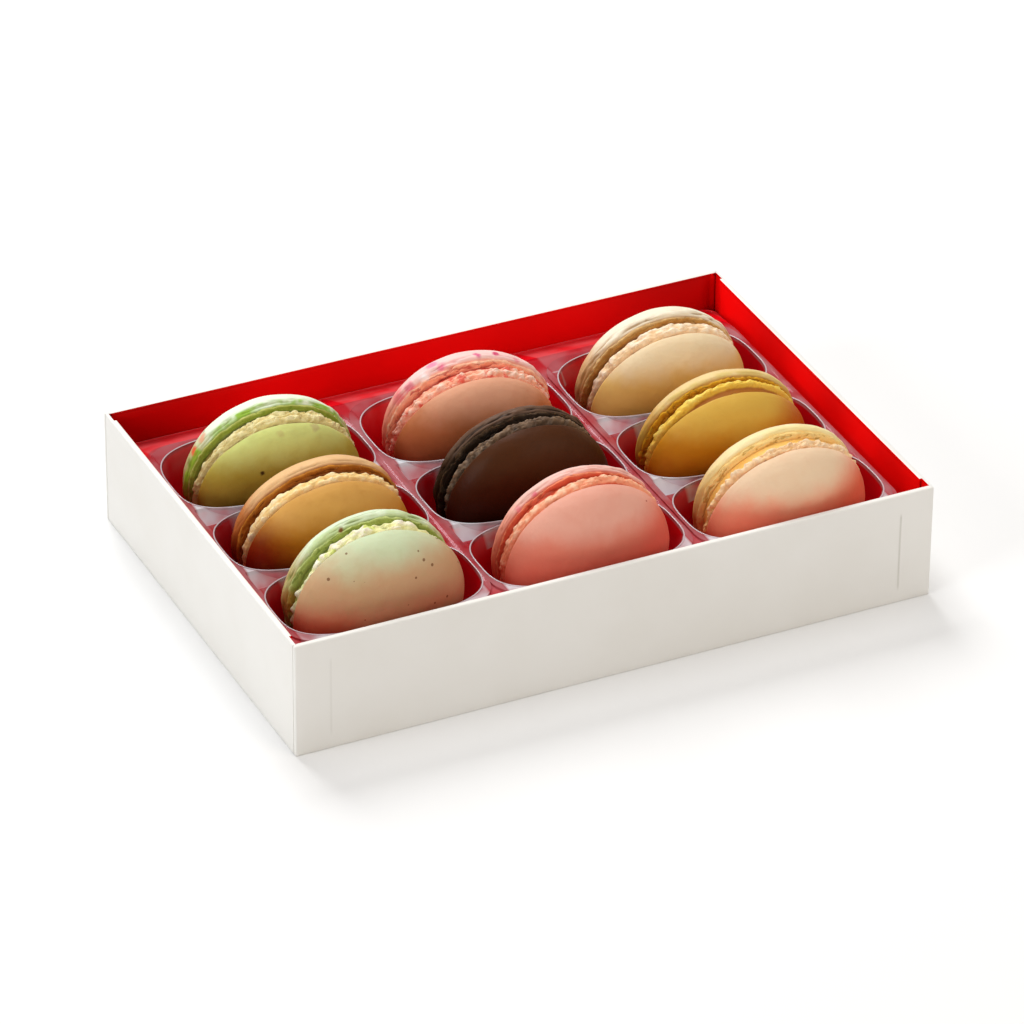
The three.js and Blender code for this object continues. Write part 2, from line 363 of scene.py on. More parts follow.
@dataclass(frozen=True)
class LiningFinish:
    """Solid red inner paper, printed in one ink and satin varnished.

    The varnish gives a soft sheen along the walls and a deep, saturated red. Painted shade
    darkens the ends of the back panel and painted light brightens the right one. The pairs
    are where that fades in.
    """

    face: str = "E20406"
    shade: str = "D60304"
    # painted shade for the ends of the back panel
    ends: str = "9C0202"
    # painted light for the right panel, which faces the left softbox
    right: str = "FF0806"
    back_from: tuple[float, float] = (58.0, 60.0)
    end_shade_from: tuple[float, float] = (42.0, 80.0)
    end_shade_share: float = 0.65
    right_light_from: tuple[float, float] = (87.0, 88.0)
    right_share: float = 0.5
    mottle_mm: float = 30.0
    grain_mm: float = 0.5
    roughness: float = 0.5

    def build(self) -> Material:
        """Make the material.

        Returns:
            The material.
        """
        material, tree = new_material("red_inner_paper_satin_varnished")
        place = millimetres(tree)
        mottle = noise(tree, place, self.mottle_mm, 3.0)
        grain = noise(tree, place, self.grain_mm, 3.0)
        colour = blend(tree, spread(tree, mottle, 0.3, 0.7), self.face, self.shade)
        parts = add(tree, "ShaderNodeSeparateXYZ", {0: place}).outputs
        apart = maths(tree, "ABSOLUTE", parts[0])
        # painted shade: the back panel darkens towards its ends
        ends = times(
            tree, spread(tree, parts[1], *self.back_from),
            spread(tree, apart, *self.end_shade_from, self.end_shade_share),
        )
        colour = blend(tree, ends, colour, self.ends)
        # painted light: the right panel is brightened as if lit more
        colour = blend(
            tree, spread(tree, parts[0], *self.right_light_from, self.right_share), colour, self.right
        )
        bump = raised(tree, grain, 0.1, 0.0001)
        shine = scaled(tree, mottle, self.roughness - 0.08, self.roughness + 0.1)
        principled(
            tree, {"Base Color": colour, "Roughness": shine, "Normal": bump, "Specular IOR Level": 0.05}
        )
        return material


@dataclass(frozen=True)
class FilmFinish:
    """Clear polyester film, thermoformed.

    It glints wherever it turns away. A whitish painted reflection of the bright room lies over
    the ridges, the upper well walls and the short webs between wells, painted highlights run
    along the rim beads and the back edge, and a painted reflection of the lining's red covers
    it, fuller lower down and darker on the ridge tops. The wells lie in slanting rows one
    row_mm apart. A pair is where a part fades in, from nothing to full: along X from a
    column's middle for the sides, along Y from the gap between two wells for a web's front
    and back, and else a height or a place along Y.
    """

    tint: str = "FAF6F8"
    shine: str = "F4DCE8"
    face_on: float = 0.02
    edge_on: float = 0.7
    turn: float = 5.0
    roughness: float = 0.09
    ripple_mm: float = 9.0
    # whitish painted reflection of the bright room
    painted_reflection: str = "DCE8EE"
    # painted reflection of the lining's red, standing in for the lit lining seen through the film
    red: str = "E4091A"
    ridge_red_reflection: str = "B0081C"
    red_share: float = 0.8
    ridge_mm: float = 27.0
    fade_mm: float = 0.6
    well_side: tuple[float, float] = (26.4, 25.4)
    ridge_side: tuple[float, float] = (25.8, 26.6)
    web_front: tuple[float, float] = (-3.6, -2.8)
    web_back: tuple[float, float] = (10.0, 8.5)
    last_web: tuple[float, float] = (39.0, 37.0)
    last_ridge: tuple[float, float] = (44.0, 38.0)
    wall_rise: tuple[float, float] = (20.0, 26.0)
    bead_rise: tuple[float, float] = (28.02, 28.12)
    edge_back: tuple[float, float] = (59.8, 60.2)
    edge_foot: tuple[float, float] = (21.7, 21.9)
    edge_head: tuple[float, float] = (22.5, 22.3)
    web_foot_mm: float = 22.6
    web_reflection_share: float = 0.86
    wall_reflection_share: float = 0.09
    ridge_reflection_share: float = 0.16
    # painted highlights on the rim beads and along the back edge
    bead_highlight_share: float = 0.6
    edge_highlight_share: float = 0.5
    row_mm: float = 33.0
    gap_mm: float = 8.75
    slant: float = 0.0247
    columns_mm: tuple[float, float] = (-58.1, 56.6)

    def build(self) -> Material:
        """Make the material.

        Returns:
            The material.
        """
        material, tree = new_material("clear_polyester_film_thermoformed")
        place = millimetres(tree)
        ripple = noise(tree, place, self.ripple_mm, 2.0)
        bump = raised(tree, ripple, 0.5, 0.0006)
        facing = add(tree, "ShaderNodeLayerWeight", {"Blend": 0.5, "Normal": bump}).outputs["Facing"]
        away = maths(tree, "POWER", facing, self.turn)
        share = scaled(tree, away, self.face_on, self.edge_on)
        clear = add(tree, "ShaderNodeBsdfTransparent", {"Color": linear(self.tint)})
        gloss = add(
            tree, "ShaderNodeBsdfPrincipled",
            {
                "Base Color": linear(self.shine), "Roughness": self.roughness, "Metallic": 1.0,
                "Normal": bump,
            },
        )
        parts = add(tree, "ShaderNodeSeparateXYZ", {0: place}).outputs
        first, apart = self.columns_mm
        along = maths(tree, "SUBTRACT", parts[0], first - apart * 10)
        across = maths(tree, "PINGPONG", along, apart / 2)
        slant = maths(tree, "MULTIPLY_ADD", parts[0], self.slant, parts[1])
        from_gap = maths(tree, "SUBTRACT", slant, self.gap_mm)
        half = self.row_mm / 2
        from_gap = maths(tree, "WRAP", from_gap, half, -half)
        ridge_foot = (self.ridge_mm, self.ridge_mm + self.fade_mm)
        web_foot = (self.web_foot_mm, self.web_foot_mm + self.fade_mm)
        inside = spread(tree, across, *self.well_side)
        # painted reflection on the short webs between wells
        web = times(
            tree, spread(tree, parts[2], *web_foot), inside, spread(tree, from_gap, *self.web_front),
            spread(tree, from_gap, *self.web_back), spread(tree, parts[1], *self.last_web),
            self.web_reflection_share,
        )
        # painted reflection on the upper well walls
        wall = times(tree, spread(tree, parts[2], *self.wall_rise), inside, self.wall_reflection_share)
        # painted reflection on the ridges between columns
        ridge = times(
            tree, spread(tree, parts[2], *ridge_foot), spread(tree, across, *self.ridge_side),
            spread(tree, parts[1], *self.last_ridge), self.ridge_reflection_share,
        )
        ridge = maths(tree, "MAXIMUM", ridge, wall)
        # painted highlight on the top of every rim bead
        bead = spread(tree, parts[2], *self.bead_rise, self.bead_highlight_share)
        # painted highlight along the back edge, at the flange's foot
        edge = times(
            tree, spread(tree, parts[1], *self.edge_back), spread(tree, parts[2], *self.edge_foot),
            spread(tree, parts[2], *self.edge_head), self.edge_highlight_share,
        )
        bead = maths(tree, "MAXIMUM", bead, edge)
        # the painted reflection, made uneven by the ripple, with the painted highlights on top
        painted_reflection_share = maths(tree, "MAXIMUM", web, ridge)
        painted_reflection_share = times(tree, painted_reflection_share, spread(tree, ripple, 0.2, 0.7))
        painted_reflection_share = maths(tree, "MAXIMUM", painted_reflection_share, bead)
        # painted reflection of the lining's red over most of the film, thinner on the ridge tops
        low = scaled(tree, parts[2], self.red_share, self.red_share * 0.8, *ridge_foot)
        on_top = spread(tree, parts[2], *ridge_foot)
        # darker painted red on the ridge tops
        shade = blend(tree, on_top, self.red, self.ridge_red_reflection)
        red = add(
            tree, "ShaderNodeBsdfPrincipled",
            {"Base Color": shade, "Roughness": 0.5, "Specular IOR Level": 0.04},
        )
        painted_reflection = add(
            tree, "ShaderNodeBsdfPrincipled",
            {"Base Color": linear(self.painted_reflection), "Roughness": 0.5, "Specular IOR Level": 0.2},
        )
        layers = ((low, red), (painted_reflection_share, painted_reflection), (share, gloss))
        under = clear
        for amount, shader in layers:
            under = add(
                tree, "ShaderNodeMixShader", {0: amount, 1: under.outputs[0], 2: shader.outputs[0]}
            )
        add(tree, "ShaderNodeOutputMaterial", {"Surface": under.outputs[0]})
        return material


@dataclass(frozen=True)
class StainOrPaintedLight:
    """A blotch of another colour on a macaron, at a place in the box. Small ones are real
    stains; the broad ones and the white one on the strawberry are painted light: red bounce
    from the lining, painted shade and a painted highlight.
    """

    at: tuple[float, float, float]
    radius: float
    colour: str
    strength: float = 0.8

    def lay(self, tree: Tree, place: Any, colour: Socket) -> Socket:
        """Lay the blotch, a stain or a patch of painted light, over a colour, with an uneven edge.

        Args:
            tree: the material's tree.
            place: the coordinates in millimetres.
            colour: the colour below the blotch.

        Returns:
            The colour with the blotch laid over it.
        """
        noise = add(
            tree, "ShaderNodeTexNoise", {"Vector": place, "Scale": 1 / 1.8, "Detail": 3.0}
        ).outputs[1]
        reach = min(self.radius, 1.4) * 0.7
        wobble = add(
            tree, "ShaderNodeVectorMath", {0: noise, 1: (reach * 2,) * 3, 2: place},
            operation="MULTIPLY_ADD",
        ).outputs[0]
        centre = tuple(c + reach for c in self.at)
        away = add(
            tree, "ShaderNodeVectorMath", {0: wobble, 1: centre}, operation="DISTANCE"
        ).outputs["Value"]
        share = spread(tree, away, self.radius * 1.1, self.radius * 0.35, self.strength)
        return blend(tree, share, colour, self.colour)


@dataclass(frozen=True)
class BiscuitFinish:
    """Baked almond meringue, piped and left to crust before baking.

    The crust gives a satin dome with a fine grain, and the raised foot below it is open,
    browner and rough. Painted shade darkens the fold between them, the inner face, the
    cracks and the low parts of the foot's relief, and painted shade with red bounce from the
    lining darkens and reddens each shell towards the bottom.
    """

    dome: str
    low: str
    # painted red bounce and shade towards the bottom
    foot: str
    # fold colour: random mottle, and painted shade in the crease, on the inner face and in the foot's low
    # relief
    fold: str
    # painted shade in the cracks
    crack: str = "7A4A20"
    # deeper painted shade with red bounce, lower still
    deep: str = ""
    low_shade_from: float = 44.0
    low_shade_to: float = 34.0
    deep_shade_share: float = 0.8
    speck: str = "5A3A1A"
    specks: float = 0.0
    streak: str = ""
    streak_share: float = 0.95
    stains_and_painted_light: tuple[StainOrPaintedLight, ...] = ()
    roughness: float = 0.5
    specular: float = 0.1

    def speckle(self, tree: Tree, place: Any, colour: Socket) -> Socket:
        """Scatter small dark specks of almond skin over a colour.

        Args:
            tree: the material's tree.
            place: the coordinates in millimetres.
            colour: the colour so far.

        Returns:
            The speckled colour.
        """
        dots = add(tree, "ShaderNodeTexVoronoi", {"Vector": place, "Scale": 1 / 3.2, "Randomness": 1.0})
        chosen = add(tree, "ShaderNodeSeparateXYZ", {0: dots.outputs["Color"]})
        picked = maths(tree, "LESS_THAN", chosen.outputs[0], self.specks)
        size = scaled(tree, chosen.outputs[1], 0.06, 0.15)
        inside = maths(tree, "LESS_THAN", dots.outputs["Distance"], size)
        return blend(tree, times(tree, picked, inside, 0.75), colour, self.speck)

    def build(self, name: str) -> Material:
        """Make the material from the mesh's own foot, fold and relief attributes.

        Args:
            name: the shell's name.

        Returns:
            The material.
        """
        material, tree = new_material(f"{name}_almond_meringue_baked")
        place = millimetres(tree)
        masks = {
            name: add(tree, "ShaderNodeAttribute", attribute_name=name).outputs["Fac"]
            for name in ("foot", "fold", "rim", "inner", "relief", "crack")
        }
        cloud = noise(tree, place, 8.0, 3.0)
        crumb = noise(tree, place, 0.9, 4.0)
        height = add(tree, "ShaderNodeSeparateXYZ", {0: place}).outputs[2]
        uneven = maths(tree, "ADD", times(tree, cloud, 8.0), height)
        # painted red bounce and shade: the shell takes the low colour towards the bottom
        colour = blend(
            tree, spread(tree, uneven, self.low_shade_from + 4, self.low_shade_to + 4, 0.9), self.dome, self.low
        )
        # painted shade with red bounce, deepest at the bottom
        if self.deep:
            share = spread(tree, uneven, 41.0, 26.0, self.deep_shade_share)
            colour = blend(tree, share, colour, self.deep)
        colour = blend(tree, spread(tree, cloud, 0.4, 0.75, 0.10), colour, self.fold)
        if self.streak:
            patch = times(tree, masks["rim"], spread(tree, cloud, 0.39, 0.54))
            colour = blend(tree, times(tree, patch, self.streak_share), colour, self.streak)
        colour = blend(tree, masks["foot"], colour, self.foot)
        # painted shade: the fold colour darkens the low parts of the foot's relief, the crease above the
        # foot and the inner face against the filling
        deep = times(tree, masks["foot"], spread(tree, masks["relief"], 0.5, 0.25))
        colour = blend(tree, times(tree, deep, 0.35), colour, self.fold)
        colour = blend(tree, times(tree, masks["fold"], 0.6), colour, self.fold)
        colour = blend(tree, times(tree, masks["inner"], 0.85), colour, self.fold)
        # painted shade in the slits and side creases that the crack attribute marks
        cracked = spread(tree, masks["crack"], 0.35, 0.95, 0.75)
        colour = blend(tree, cracked, colour, self.crack)
        if self.specks:
            colour = self.speckle(tree, place, colour)
        # stains, and broad patches of painted light: red bounce, painted shade and a painted highlight
        for coloured_patch in self.stains_and_painted_light:
            colour = coloured_patch.lay(tree, place, colour)
        grain = noise(tree, place, 0.5, 3.0)
        dimples = noise(tree, place, 3.5, 3.0)
        colour = blend(tree, spread(tree, dimples, 0.5, 0.75, 0.09), colour, self.fold)
        uneven = raised(tree, dimples, 0.3, 0.0008)
        fine = raised(tree, grain, 0.18, 0.0002, uneven)
        rough = raised(tree, crumb, times(tree, masks["foot"], 0.45), 0.0005, fine)
        shine = scaled(tree, masks["foot"], self.roughness, 0.7)
        principled(
            tree,
            {
                "Base Color": colour, "Roughness": shine, "Normal": rough,
                "Specular IOR Level": self.specular, "Subsurface Weight": 0.06,
                "Subsurface Radius": (1.0, 0.6, 0.35), "Subsurface Scale": 0.0015,
            },
        )
        return material


@dataclass(frozen=True)
class CreamFinish:
    """Set butter cream or ganache, piped between the shells.

    It is soft edged and uneven. Painted light makes it paler where it stands proud, and
    painted shade darkens its folds, the groove beside the ledge and its lower part.
    """

    # painted light on the proud parts of the ledge
    light: str
    mid: str
    # painted shade in the groove, the hollows and the lower part, and random darker patches
    deep: str
    bits: str = ""

    def build(self, name: str) -> Material:
        """Make the material from the mesh's own ledge and relief attributes.

        Args:
            name: the filling's flavour.

        Returns:
            The material.
        """
        material, tree = new_material(f"{name}_filling_cream_piped")
        place = millimetres(tree)
        masks = {
            name: add(tree, "ShaderNodeAttribute", attribute_name=name).outputs["Fac"]
            for name in ("ledge", "relief")
        }
        cloud = noise(tree, place, 3.4, 3.0)
        crumb = noise(tree, place, 0.7, 4.0)
        # painted shade: off the ledge and in the lowest relief the filling takes the deep colour
        colour = blend(
            tree,
            times(tree, spread(tree, masks["ledge"], 0.12, 0.5), spread(tree, masks["relief"], 0.0, 0.2)),
            self.deep, self.mid,
        )
        # painted light: the proud relief on the ledge takes the light colour
        colour = blend(
            tree,
            times(tree, spread(tree, masks["relief"], 0.26, 0.5), spread(tree, masks["ledge"], 0.4, 0.8)),
            colour, self.light,
        )
        if self.bits:
            colour = blend(tree, spread(tree, cloud, 0.56, 0.64, 0.85), colour, self.bits)
        height = add(tree, "ShaderNodeSeparateXYZ", {0: place}).outputs[2]
        uneven = maths(tree, "ADD", times(tree, cloud, 8.0), height)
        # painted shade towards the bottom
        colour = blend(tree, spread(tree, uneven, 47.0, 30.0, 0.6), colour, self.deep)
        baked = times(tree, spread(tree, cloud, 0.5, 0.62), spread(tree, crumb, 0.45, 0.6), 0.22)
        colour = blend(tree, baked, colour, self.deep)
        bump = raised(tree, crumb, 0.4, 0.0004)
        principled(
            tree,
            {
                "Base Color": colour, "Roughness": 0.58, "Normal": bump, "Subsurface Weight": 0.08,
                "Subsurface Radius": (1.0, 0.6, 0.35), "Subsurface Scale": 0.0015,
            },
        )
        return material


# The box


@dataclass
class PaperboardBox:
    """The white outer board: floor, walls and rolled-over rim, with corner seams."""

    width: float = 180.0
    depth: float = 124.0
    height: float = 32.7
    board: float = 0.8
    rim: float = 1.7
    rim_drop: float = 0.7
    rim_round: float = 0.5
    notch: float = 3.6
    seam_inset: float = 1.2
    seam_size: float = 0.35
    corner_round: float = 0.45
    foot_round: float = 0.3
    floor_inset: float = 6.0
    bow: float = 0.16
    bow_top: float = 31.0
    wall_band: float = 7.0
    corner_band: float = 6.0

    def side_stations(self, inset: float, groove: float) -> list[tuple[float, float]]:
        """The right wall's line in plan, from front to back.

        Args:
            inset: how far inside the outer face the line runs.
            groove: depth of the seam by each corner at this height.

        Returns:
            Points as x and y.
        """
        x, y = self.width / 2, self.depth / 2
        end = y - self.rim - self.notch
        seam = y - self.seam_inset
        half = self.seam_size / 2
        thin = min(inset, self.board)
        cut = max(groove, inset)
        marks: list[tuple[float, float]] = []
        for station, line in (
            (seam + half, thin), (seam + half - 0.05, cut), (seam - half + 0.05, cut),
            (seam - half, thin),
        ):
            marks.append((x - line, min(station, y - inset)))
        rows = list(marks)
        rows.append((x - thin, end + 0.02))
        for s in np.linspace(end, -end, 41):
            rows.append((x - inset, s))
        rows.append((x - thin, -end - 0.02))
        rows += [(px, -py) for px, py in marks[::-1]]
        return rows[::-1]

    def plan(self, inset: float, groove: float) -> np.ndarray:
        """The whole line in plan, anticlockwise from above.

        Args:
            inset: how far inside the outer face the line runs.
            groove: depth of the seams at this height.

        Returns:
            One row of x and y for each point.
        """
        x, y = self.width / 2, self.depth / 2
        thin = min(inset, self.board)
        round_ = max(self.corner_round - inset, 0.05)
        front = [(s, -(y - inset)) for s in np.linspace(-(x - 3), x - 3, 61)]
        corner = [
            (x - thin - round_ + round_ * math.sin(a), -(y - inset) + round_ - round_ * math.cos(a))
            for a in np.linspace(0, math.pi / 2, 5)
        ]
        side = self.side_stations(inset, groove)
        quarter = front + corner + side
        half = quarter + [(px, -py) for px, py in corner[::-1]]
        return np.array(half + [(-px, -py) for px, py in half])

    def rows(self) -> list[tuple[float, float, bool]]:
        """The wall's section, from the floor's underside round to the floor's top.

        Returns:
            Inset, height and whether the red paper covers the board there.
        """
        r = self.rim_round
        top = self.height
        low = self.foot_round
        quarter = np.linspace(0, math.pi / 2, 6)
        rows: list[tuple[float, float, bool]] = [(self.floor_inset, 0.0, False)]
        rows += [
            (low - low * math.sin(a), low - low * math.cos(a), False)
            for a in np.linspace(0, math.pi / 2, 4)
        ]
        rows += [(0.0, z, False) for z in np.linspace(2, top - r - 1, 10)]
        rows += [(r - r * math.cos(a), top - r + r * math.sin(a), False) for a in quarter]
        rows += [
            (self.rim - r + r * math.sin(a), top - r + r * math.cos(a), k > 1)
            for k, a in enumerate(quarter)
        ]
        rows += [(self.rim, top - self.rim_drop, True), (self.board, top - self.rim_drop, True)]
        rows += [(self.board, z, True) for z in (20.0, 8.0, self.board)]
        rows.append((self.floor_inset, self.board, True))
        return rows

    def build(self, white: Material, red: Material) -> Piece:
        """Make the board.

        Args:
            white: the board's finish.
            red: the lining's finish, which wraps over the rim's inner edge.

        Returns:
            The board as one piece.
        """
        rows = self.rows()
        loops = []
        for k, (inset, z, _) in enumerate(rows):
            outside = inset < self.rim_round
            plan = self.plan(inset, self.seam_size if outside and z > 0.05 else 0.0)
            bow = self.bow * math.sin(math.pi * min(z, self.bow_top) / self.bow_top)
            x, y = plan[:, 0], plan[:, 1]
            calm = np.cos(np.pi * x / self.width) * np.cos(np.pi * y / self.depth)
            wave = 0.5 + 0.5 * np.sin(x * 0.045 + 0.7) * np.cos(y * 0.06 + 0.3)
            push = bow * wave * (1 - calm) * (z < self.bow_top + 0.5)
            end_x, end_y = self.width / 2, self.depth / 2
            sx = np.where(
                np.abs(x) > end_x - self.wall_band, np.sign(x), 0
            ) * (np.abs(y) < end_y - self.corner_band)
            sy = np.where(
                np.abs(y) > end_y - self.wall_band, np.sign(y), 0
            ) * (np.abs(x) < end_x - self.corner_band)
            loops.append(np.column_stack([x - sx * push, y - sy * push, np.full(len(x), z)]))
        count = len(loops[0])
        faces = stacked_faces(len(loops), count, True, True)
        made = mesh_of("gift_box_board", np.vstack(loops), faces)
        made.data.materials.append(white)
        made.data.materials.append(red)
        for level in range(len(rows) - 1):
            if rows[level][2] and rows[level + 1][2]:
                for k in range(count):
                    made.data.polygons[level * count + k].material_index = 1
        made.data.set_sharp_from_angle(angle=math.radians(40))
        return made


@dataclass
class RedLining:
    """The red paper: a floor sheet and a panel inside each wall."""

    box: PaperboardBox
    gap: float = 0.3
    floor_thick: float = 0.5
    wall_thick: float = 0.6
    edge: float = 0.18
    along: int = 48
    across: int = 12

    def panel(
        self, name: str, low: tuple[float, float, float], high: tuple[float, float, float]
    ) -> Piece:
        """A thin flat panel with softened edges.

        Args:
            name: the piece's name.
            low: its lowest corner.
            high: its highest corner.

        Returns:
            The panel.
        """
        size = [h - l for l, h in zip(low, high)]
        thin = size.index(min(size))
        flat = [k for k in range(3) if k != thin]
        (a0, b0), (a1, b1) = ([corner[k] for k in flat] for corner in (low, high))
        outline = [(a, b0) for a in np.linspace(a0, a1, self.along, endpoint=False)]
        outline += [(a1, b) for b in np.linspace(b0, b1, self.across, endpoint=False)]
        outline += [(a, b1) for a in np.linspace(a1, a0, self.along, endpoint=False)]
        outline += [(a0, b) for b in np.linspace(b1, b0, self.across, endpoint=False)]
        plan = np.array(outline)
        middle = np.array([(a0 + a1) / 2, (b0 + b1) / 2])
        half = np.array([(a1 - a0) / 2, (b1 - b0) / 2])
        t0, t1 = low[thin], high[thin]
        edge = self.edge
        points = []
        for shrink, depth in ((edge, t0), (0.0, t0 + edge), (0.0, t1 - edge), (edge, t1)):
            rows = np.full((len(plan), 3), depth)
            rows[:, flat] = middle + (plan - middle) * (1 - shrink / half)
            points.append(rows)
        made = mesh_of(name, np.vstack(points), stacked_faces(4, len(plan), True, True))
        shape = bmesh.new()
        shape.from_mesh(made.data)
        bmesh.ops.recalc_face_normals(shape, faces=shape.faces)
        shape.to_mesh(made.data)
        shape.free()
        made.data.set_sharp_from_angle(angle=math.radians(50))
        return made

    def build(self, red: Material) -> list[Piece]:
        """Make the five panels.

        Args:
            red: the lining's finish.

        Returns:
            The panels, named for their place.
        """
        x, y = self.box.width / 2, self.box.depth / 2
        outer = self.box.board + self.gap
        inner = outer + self.wall_thick
        floor_top = outer + self.floor_thick
        foot = floor_top + self.gap
        top = self.box.height - self.box.rim_drop + 0.05
        short = y - self.box.rim - self.box.notch
        made = [
            self.panel(
                "lining_floor", (-(x - outer), -(y - outer), outer), (x - outer, y - outer, floor_top)
            ),
            self.panel("lining_back", (-(x - outer), y - inner, foot), (x - outer, y - outer, top)),
            self.panel(
                "lining_front", (-(x - outer), -(y - outer), foot), (x - outer, -(y - inner), top)
            ),
            self.panel("lining_left", (-(x - outer), -short, foot), (-(x - inner), short, top)),
            self.panel("lining_right", (x - inner, -short, foot), (x - outer, short, top)),
        ]
        for piece in made:
            piece.data.materials.append(red)
        return made


# The clear tray


@dataclass(frozen=True)
class WellLevel:
    """One height of a well: half sizes of its outline and how square it is."""

    z: float
    half_x: float
    half_y: float
    power: float


@dataclass
class ClearTray:
    """The thermoformed tray: lid, sloping flange, skirt and nine thin wells."""

    box: PaperboardBox
    film: float = 0.45
    top: float = 28.0
    lid: float = 27.4
    flange_foot: float = 22.0
    skirt_foot: float = 2.2
    clearance: float = 0.4
    columns: tuple[float, ...] = (-58.1, -1.8, 55.3)
    column_half: float = 28.2
    column_corner: float = 9.0
    rows: tuple[tuple[float, ...], ...] = ((26.5, -6.4, -39.2), (25.4, -7.8, -40.6), (24.1, -9.6, -42.0))
    back_extra: float = 3.5
    levels: tuple[WellLevel, ...] = (
        WellLevel(2.4, 11.0, 12.6, 2.4), WellLevel(5.2, 16.8, 13.8, 2.6),
        WellLevel(15.0, 24.5, 15.1, 3.0), WellLevel(28.0, 27.2, 15.9, 3.2),
    )
    lip: float = 0.8
    trough_half: float = 4.6
    trough_deep: float = 4.2
    bead: float = 0.22
    points: int = 96

    def outline(self, cx: float, cy: float, level: WellLevel, grow: float, extra: float) -> np.ndarray:
        """A well's outline at one height, anticlockwise from above.

        Args:
            cx: the well's centre along X.
            cy: the well's centre along Y.
            level: the sizes at this height.
            grow: how far outside the well's inner face the outline runs.
            extra: how much further back a well of the back row reaches.

        Returns:
            One row of x, y, z for each point.
        """
        angle = 2 * np.pi * (np.arange(self.points) + 0.5) / self.points
        c, s = np.cos(angle), np.sin(angle)
        back = np.where(s > 0, extra, 0.0)
        x = cx + (level.half_x + grow) * np.sign(c) * np.abs(c) ** (2 / level.power)
        y = cy + (level.half_y + grow + back) * np.sign(s) * np.abs(s) ** (2 / level.power)
        return np.column_stack([x, y, np.full(self.points, level.z)])

    def between(self, z: float) -> WellLevel:
        """The well's sizes at any height, on a smooth line through its levels."""
        table = np.array([[l.z, l.half_x, l.half_y, l.power] for l in self.levels])
        line = [smooth_curve([(row[0], row[k]) for row in table], 12) for k in (1, 2, 3)]
        return WellLevel(z, *(float(np.interp(z, p[:, 0], p[:, 1])) for p in line))

    def solid(self, name: str, loops: Iterable[np.ndarray]) -> Piece:
        """A closed helper solid through level loops, from the lowest to the highest."""
        loops = list(loops)
        return mesh_of(name, np.vstack(loops), stacked_faces(len(loops), len(loops[0]), True, True))

    def well(self, column: int, row: int, grow: float) -> Piece:
        """One well as a helper solid, grown outward by the film where asked.

        Args:
            column: the well's column, from the left.
            row: the well's row, from the back.
            grow: the film's thickness, or 0 for the hollow itself.

        Returns:
            The helper solid.
        """
        centre = self.columns[column], self.rows[column][row]
        extra = self.back_extra if row == 0 else 0.0
        low, high = self.levels[0].z, self.top
        loops = []
        for z in np.linspace(low, high - self.lip, 18):
            level = replace(self.between(z), z=z - grow if z == low else z)
            loops.append(self.outline(*centre, level, grow, extra * (z - low) / (high - low)))
        if grow:
            end = replace(self.between(high), z=high - self.film / 2)
            loops.append(self.outline(*centre, end, grow, extra))
        else:
            for a in np.linspace(0, math.pi / 2, 6)[1:]:
                z = high - self.lip + self.lip * math.sin(a)
                level = replace(self.between(min(high, z)), z=z)
                loops.append(self.outline(*centre, level, self.lip * (1 - math.cos(a)) * 0.35, extra))
            over = loops[-1].copy()
            over[:, 2] = high + 1
            loops.append(over)
        return self.solid(f"helper_well_{column}_{row}", loops)

    def trough(self, column: int, row: int, grow: float) -> Piece:
        """The hipped trough between one well and the next one in front, as a helper.

        Args:
            column: the column, from the left.
            row: the row behind the trough, from the back.
            grow: the film's thickness, or 0 for the hollow itself.

        Returns:
            The helper solid.
        """
        cx = self.columns[column]
        cy = (self.rows[column][row] + self.rows[column][row + 1]) / 2
        wide, half = self.column_half - 1.4 + grow, self.trough_half + grow
        low = self.top - self.trough_deep - grow
        high = self.top + (0.4 if grow == 0 else -0.1)
        loops = []
        for x, y, z in ((wide - 2.6, 0.15 + grow, low), (wide, half, high)):
            loops.append(
                np.array(
                    [(cx - x, cy - y, z), (cx + x, cy - y, z), (cx + x, cy + y, z), (cx - x, cy + y, z)]
                )
            )
        return self.solid(f"helper_trough_{column}_{row}", loops)

    def beaded(self, name: str, line: np.ndarray, radius: float) -> Piece:
        """A fine rolled bead along a closed level line, as a helper solid.

        Args:
            name: the helper's name.
            line: the bead's middle, one row for each point.
            radius: the bead's radius.

        Returns:
            The helper solid.
        """
        along = np.roll(line, -1, 0) - np.roll(line, 1, 0)
        along /= np.linalg.norm(along, axis=1)[:, None]
        across = np.column_stack([along[:, 1], -along[:, 0], np.zeros(len(line))])
        rings = []
        for a in 2 * np.pi * np.arange(8) / 8:
            rings.append(line + radius * (math.cos(a) * across + np.array([0, 0, math.sin(a)])))
        points = np.stack(rings, 1).reshape(-1, 3)
        faces = []
        for k in range(len(line)):
            for j in range(8):
                a, b = k * 8 + j, k * 8 + (j + 1) % 8
                c, d = ((k + 1) % len(line)) * 8 + (j + 1) % 8, ((k + 1) % len(line)) * 8 + j
                faces.append([a, b, c, d])
        return mesh_of(name, points, faces)

    def rounded(self, x0: float, y0: float, x1: float, y1: float, radius: float, z: float) -> np.ndarray:
        """A level rectangle with rounded corners, anticlockwise from above.

        Args:
            x0: its left side.
            y0: its front side.
            x1: its right side.
            y1: its back side.
            radius: its corners' radius.
            z: its height.

        Returns:
            One row of x, y, z for each point.
        """
        rows = []
        for cx, cy, start in (
            (x1 - radius, y0 + radius, -90), (x1 - radius, y1 - radius, 0),
            (x0 + radius, y1 - radius, 90), (x0 + radius, y0 + radius, 180),
        ):
            for a in np.radians(start + np.linspace(0, 90, 10)):
                rows.append((cx + radius * math.cos(a), cy + radius * math.sin(a), z))
        return np.array(rows)

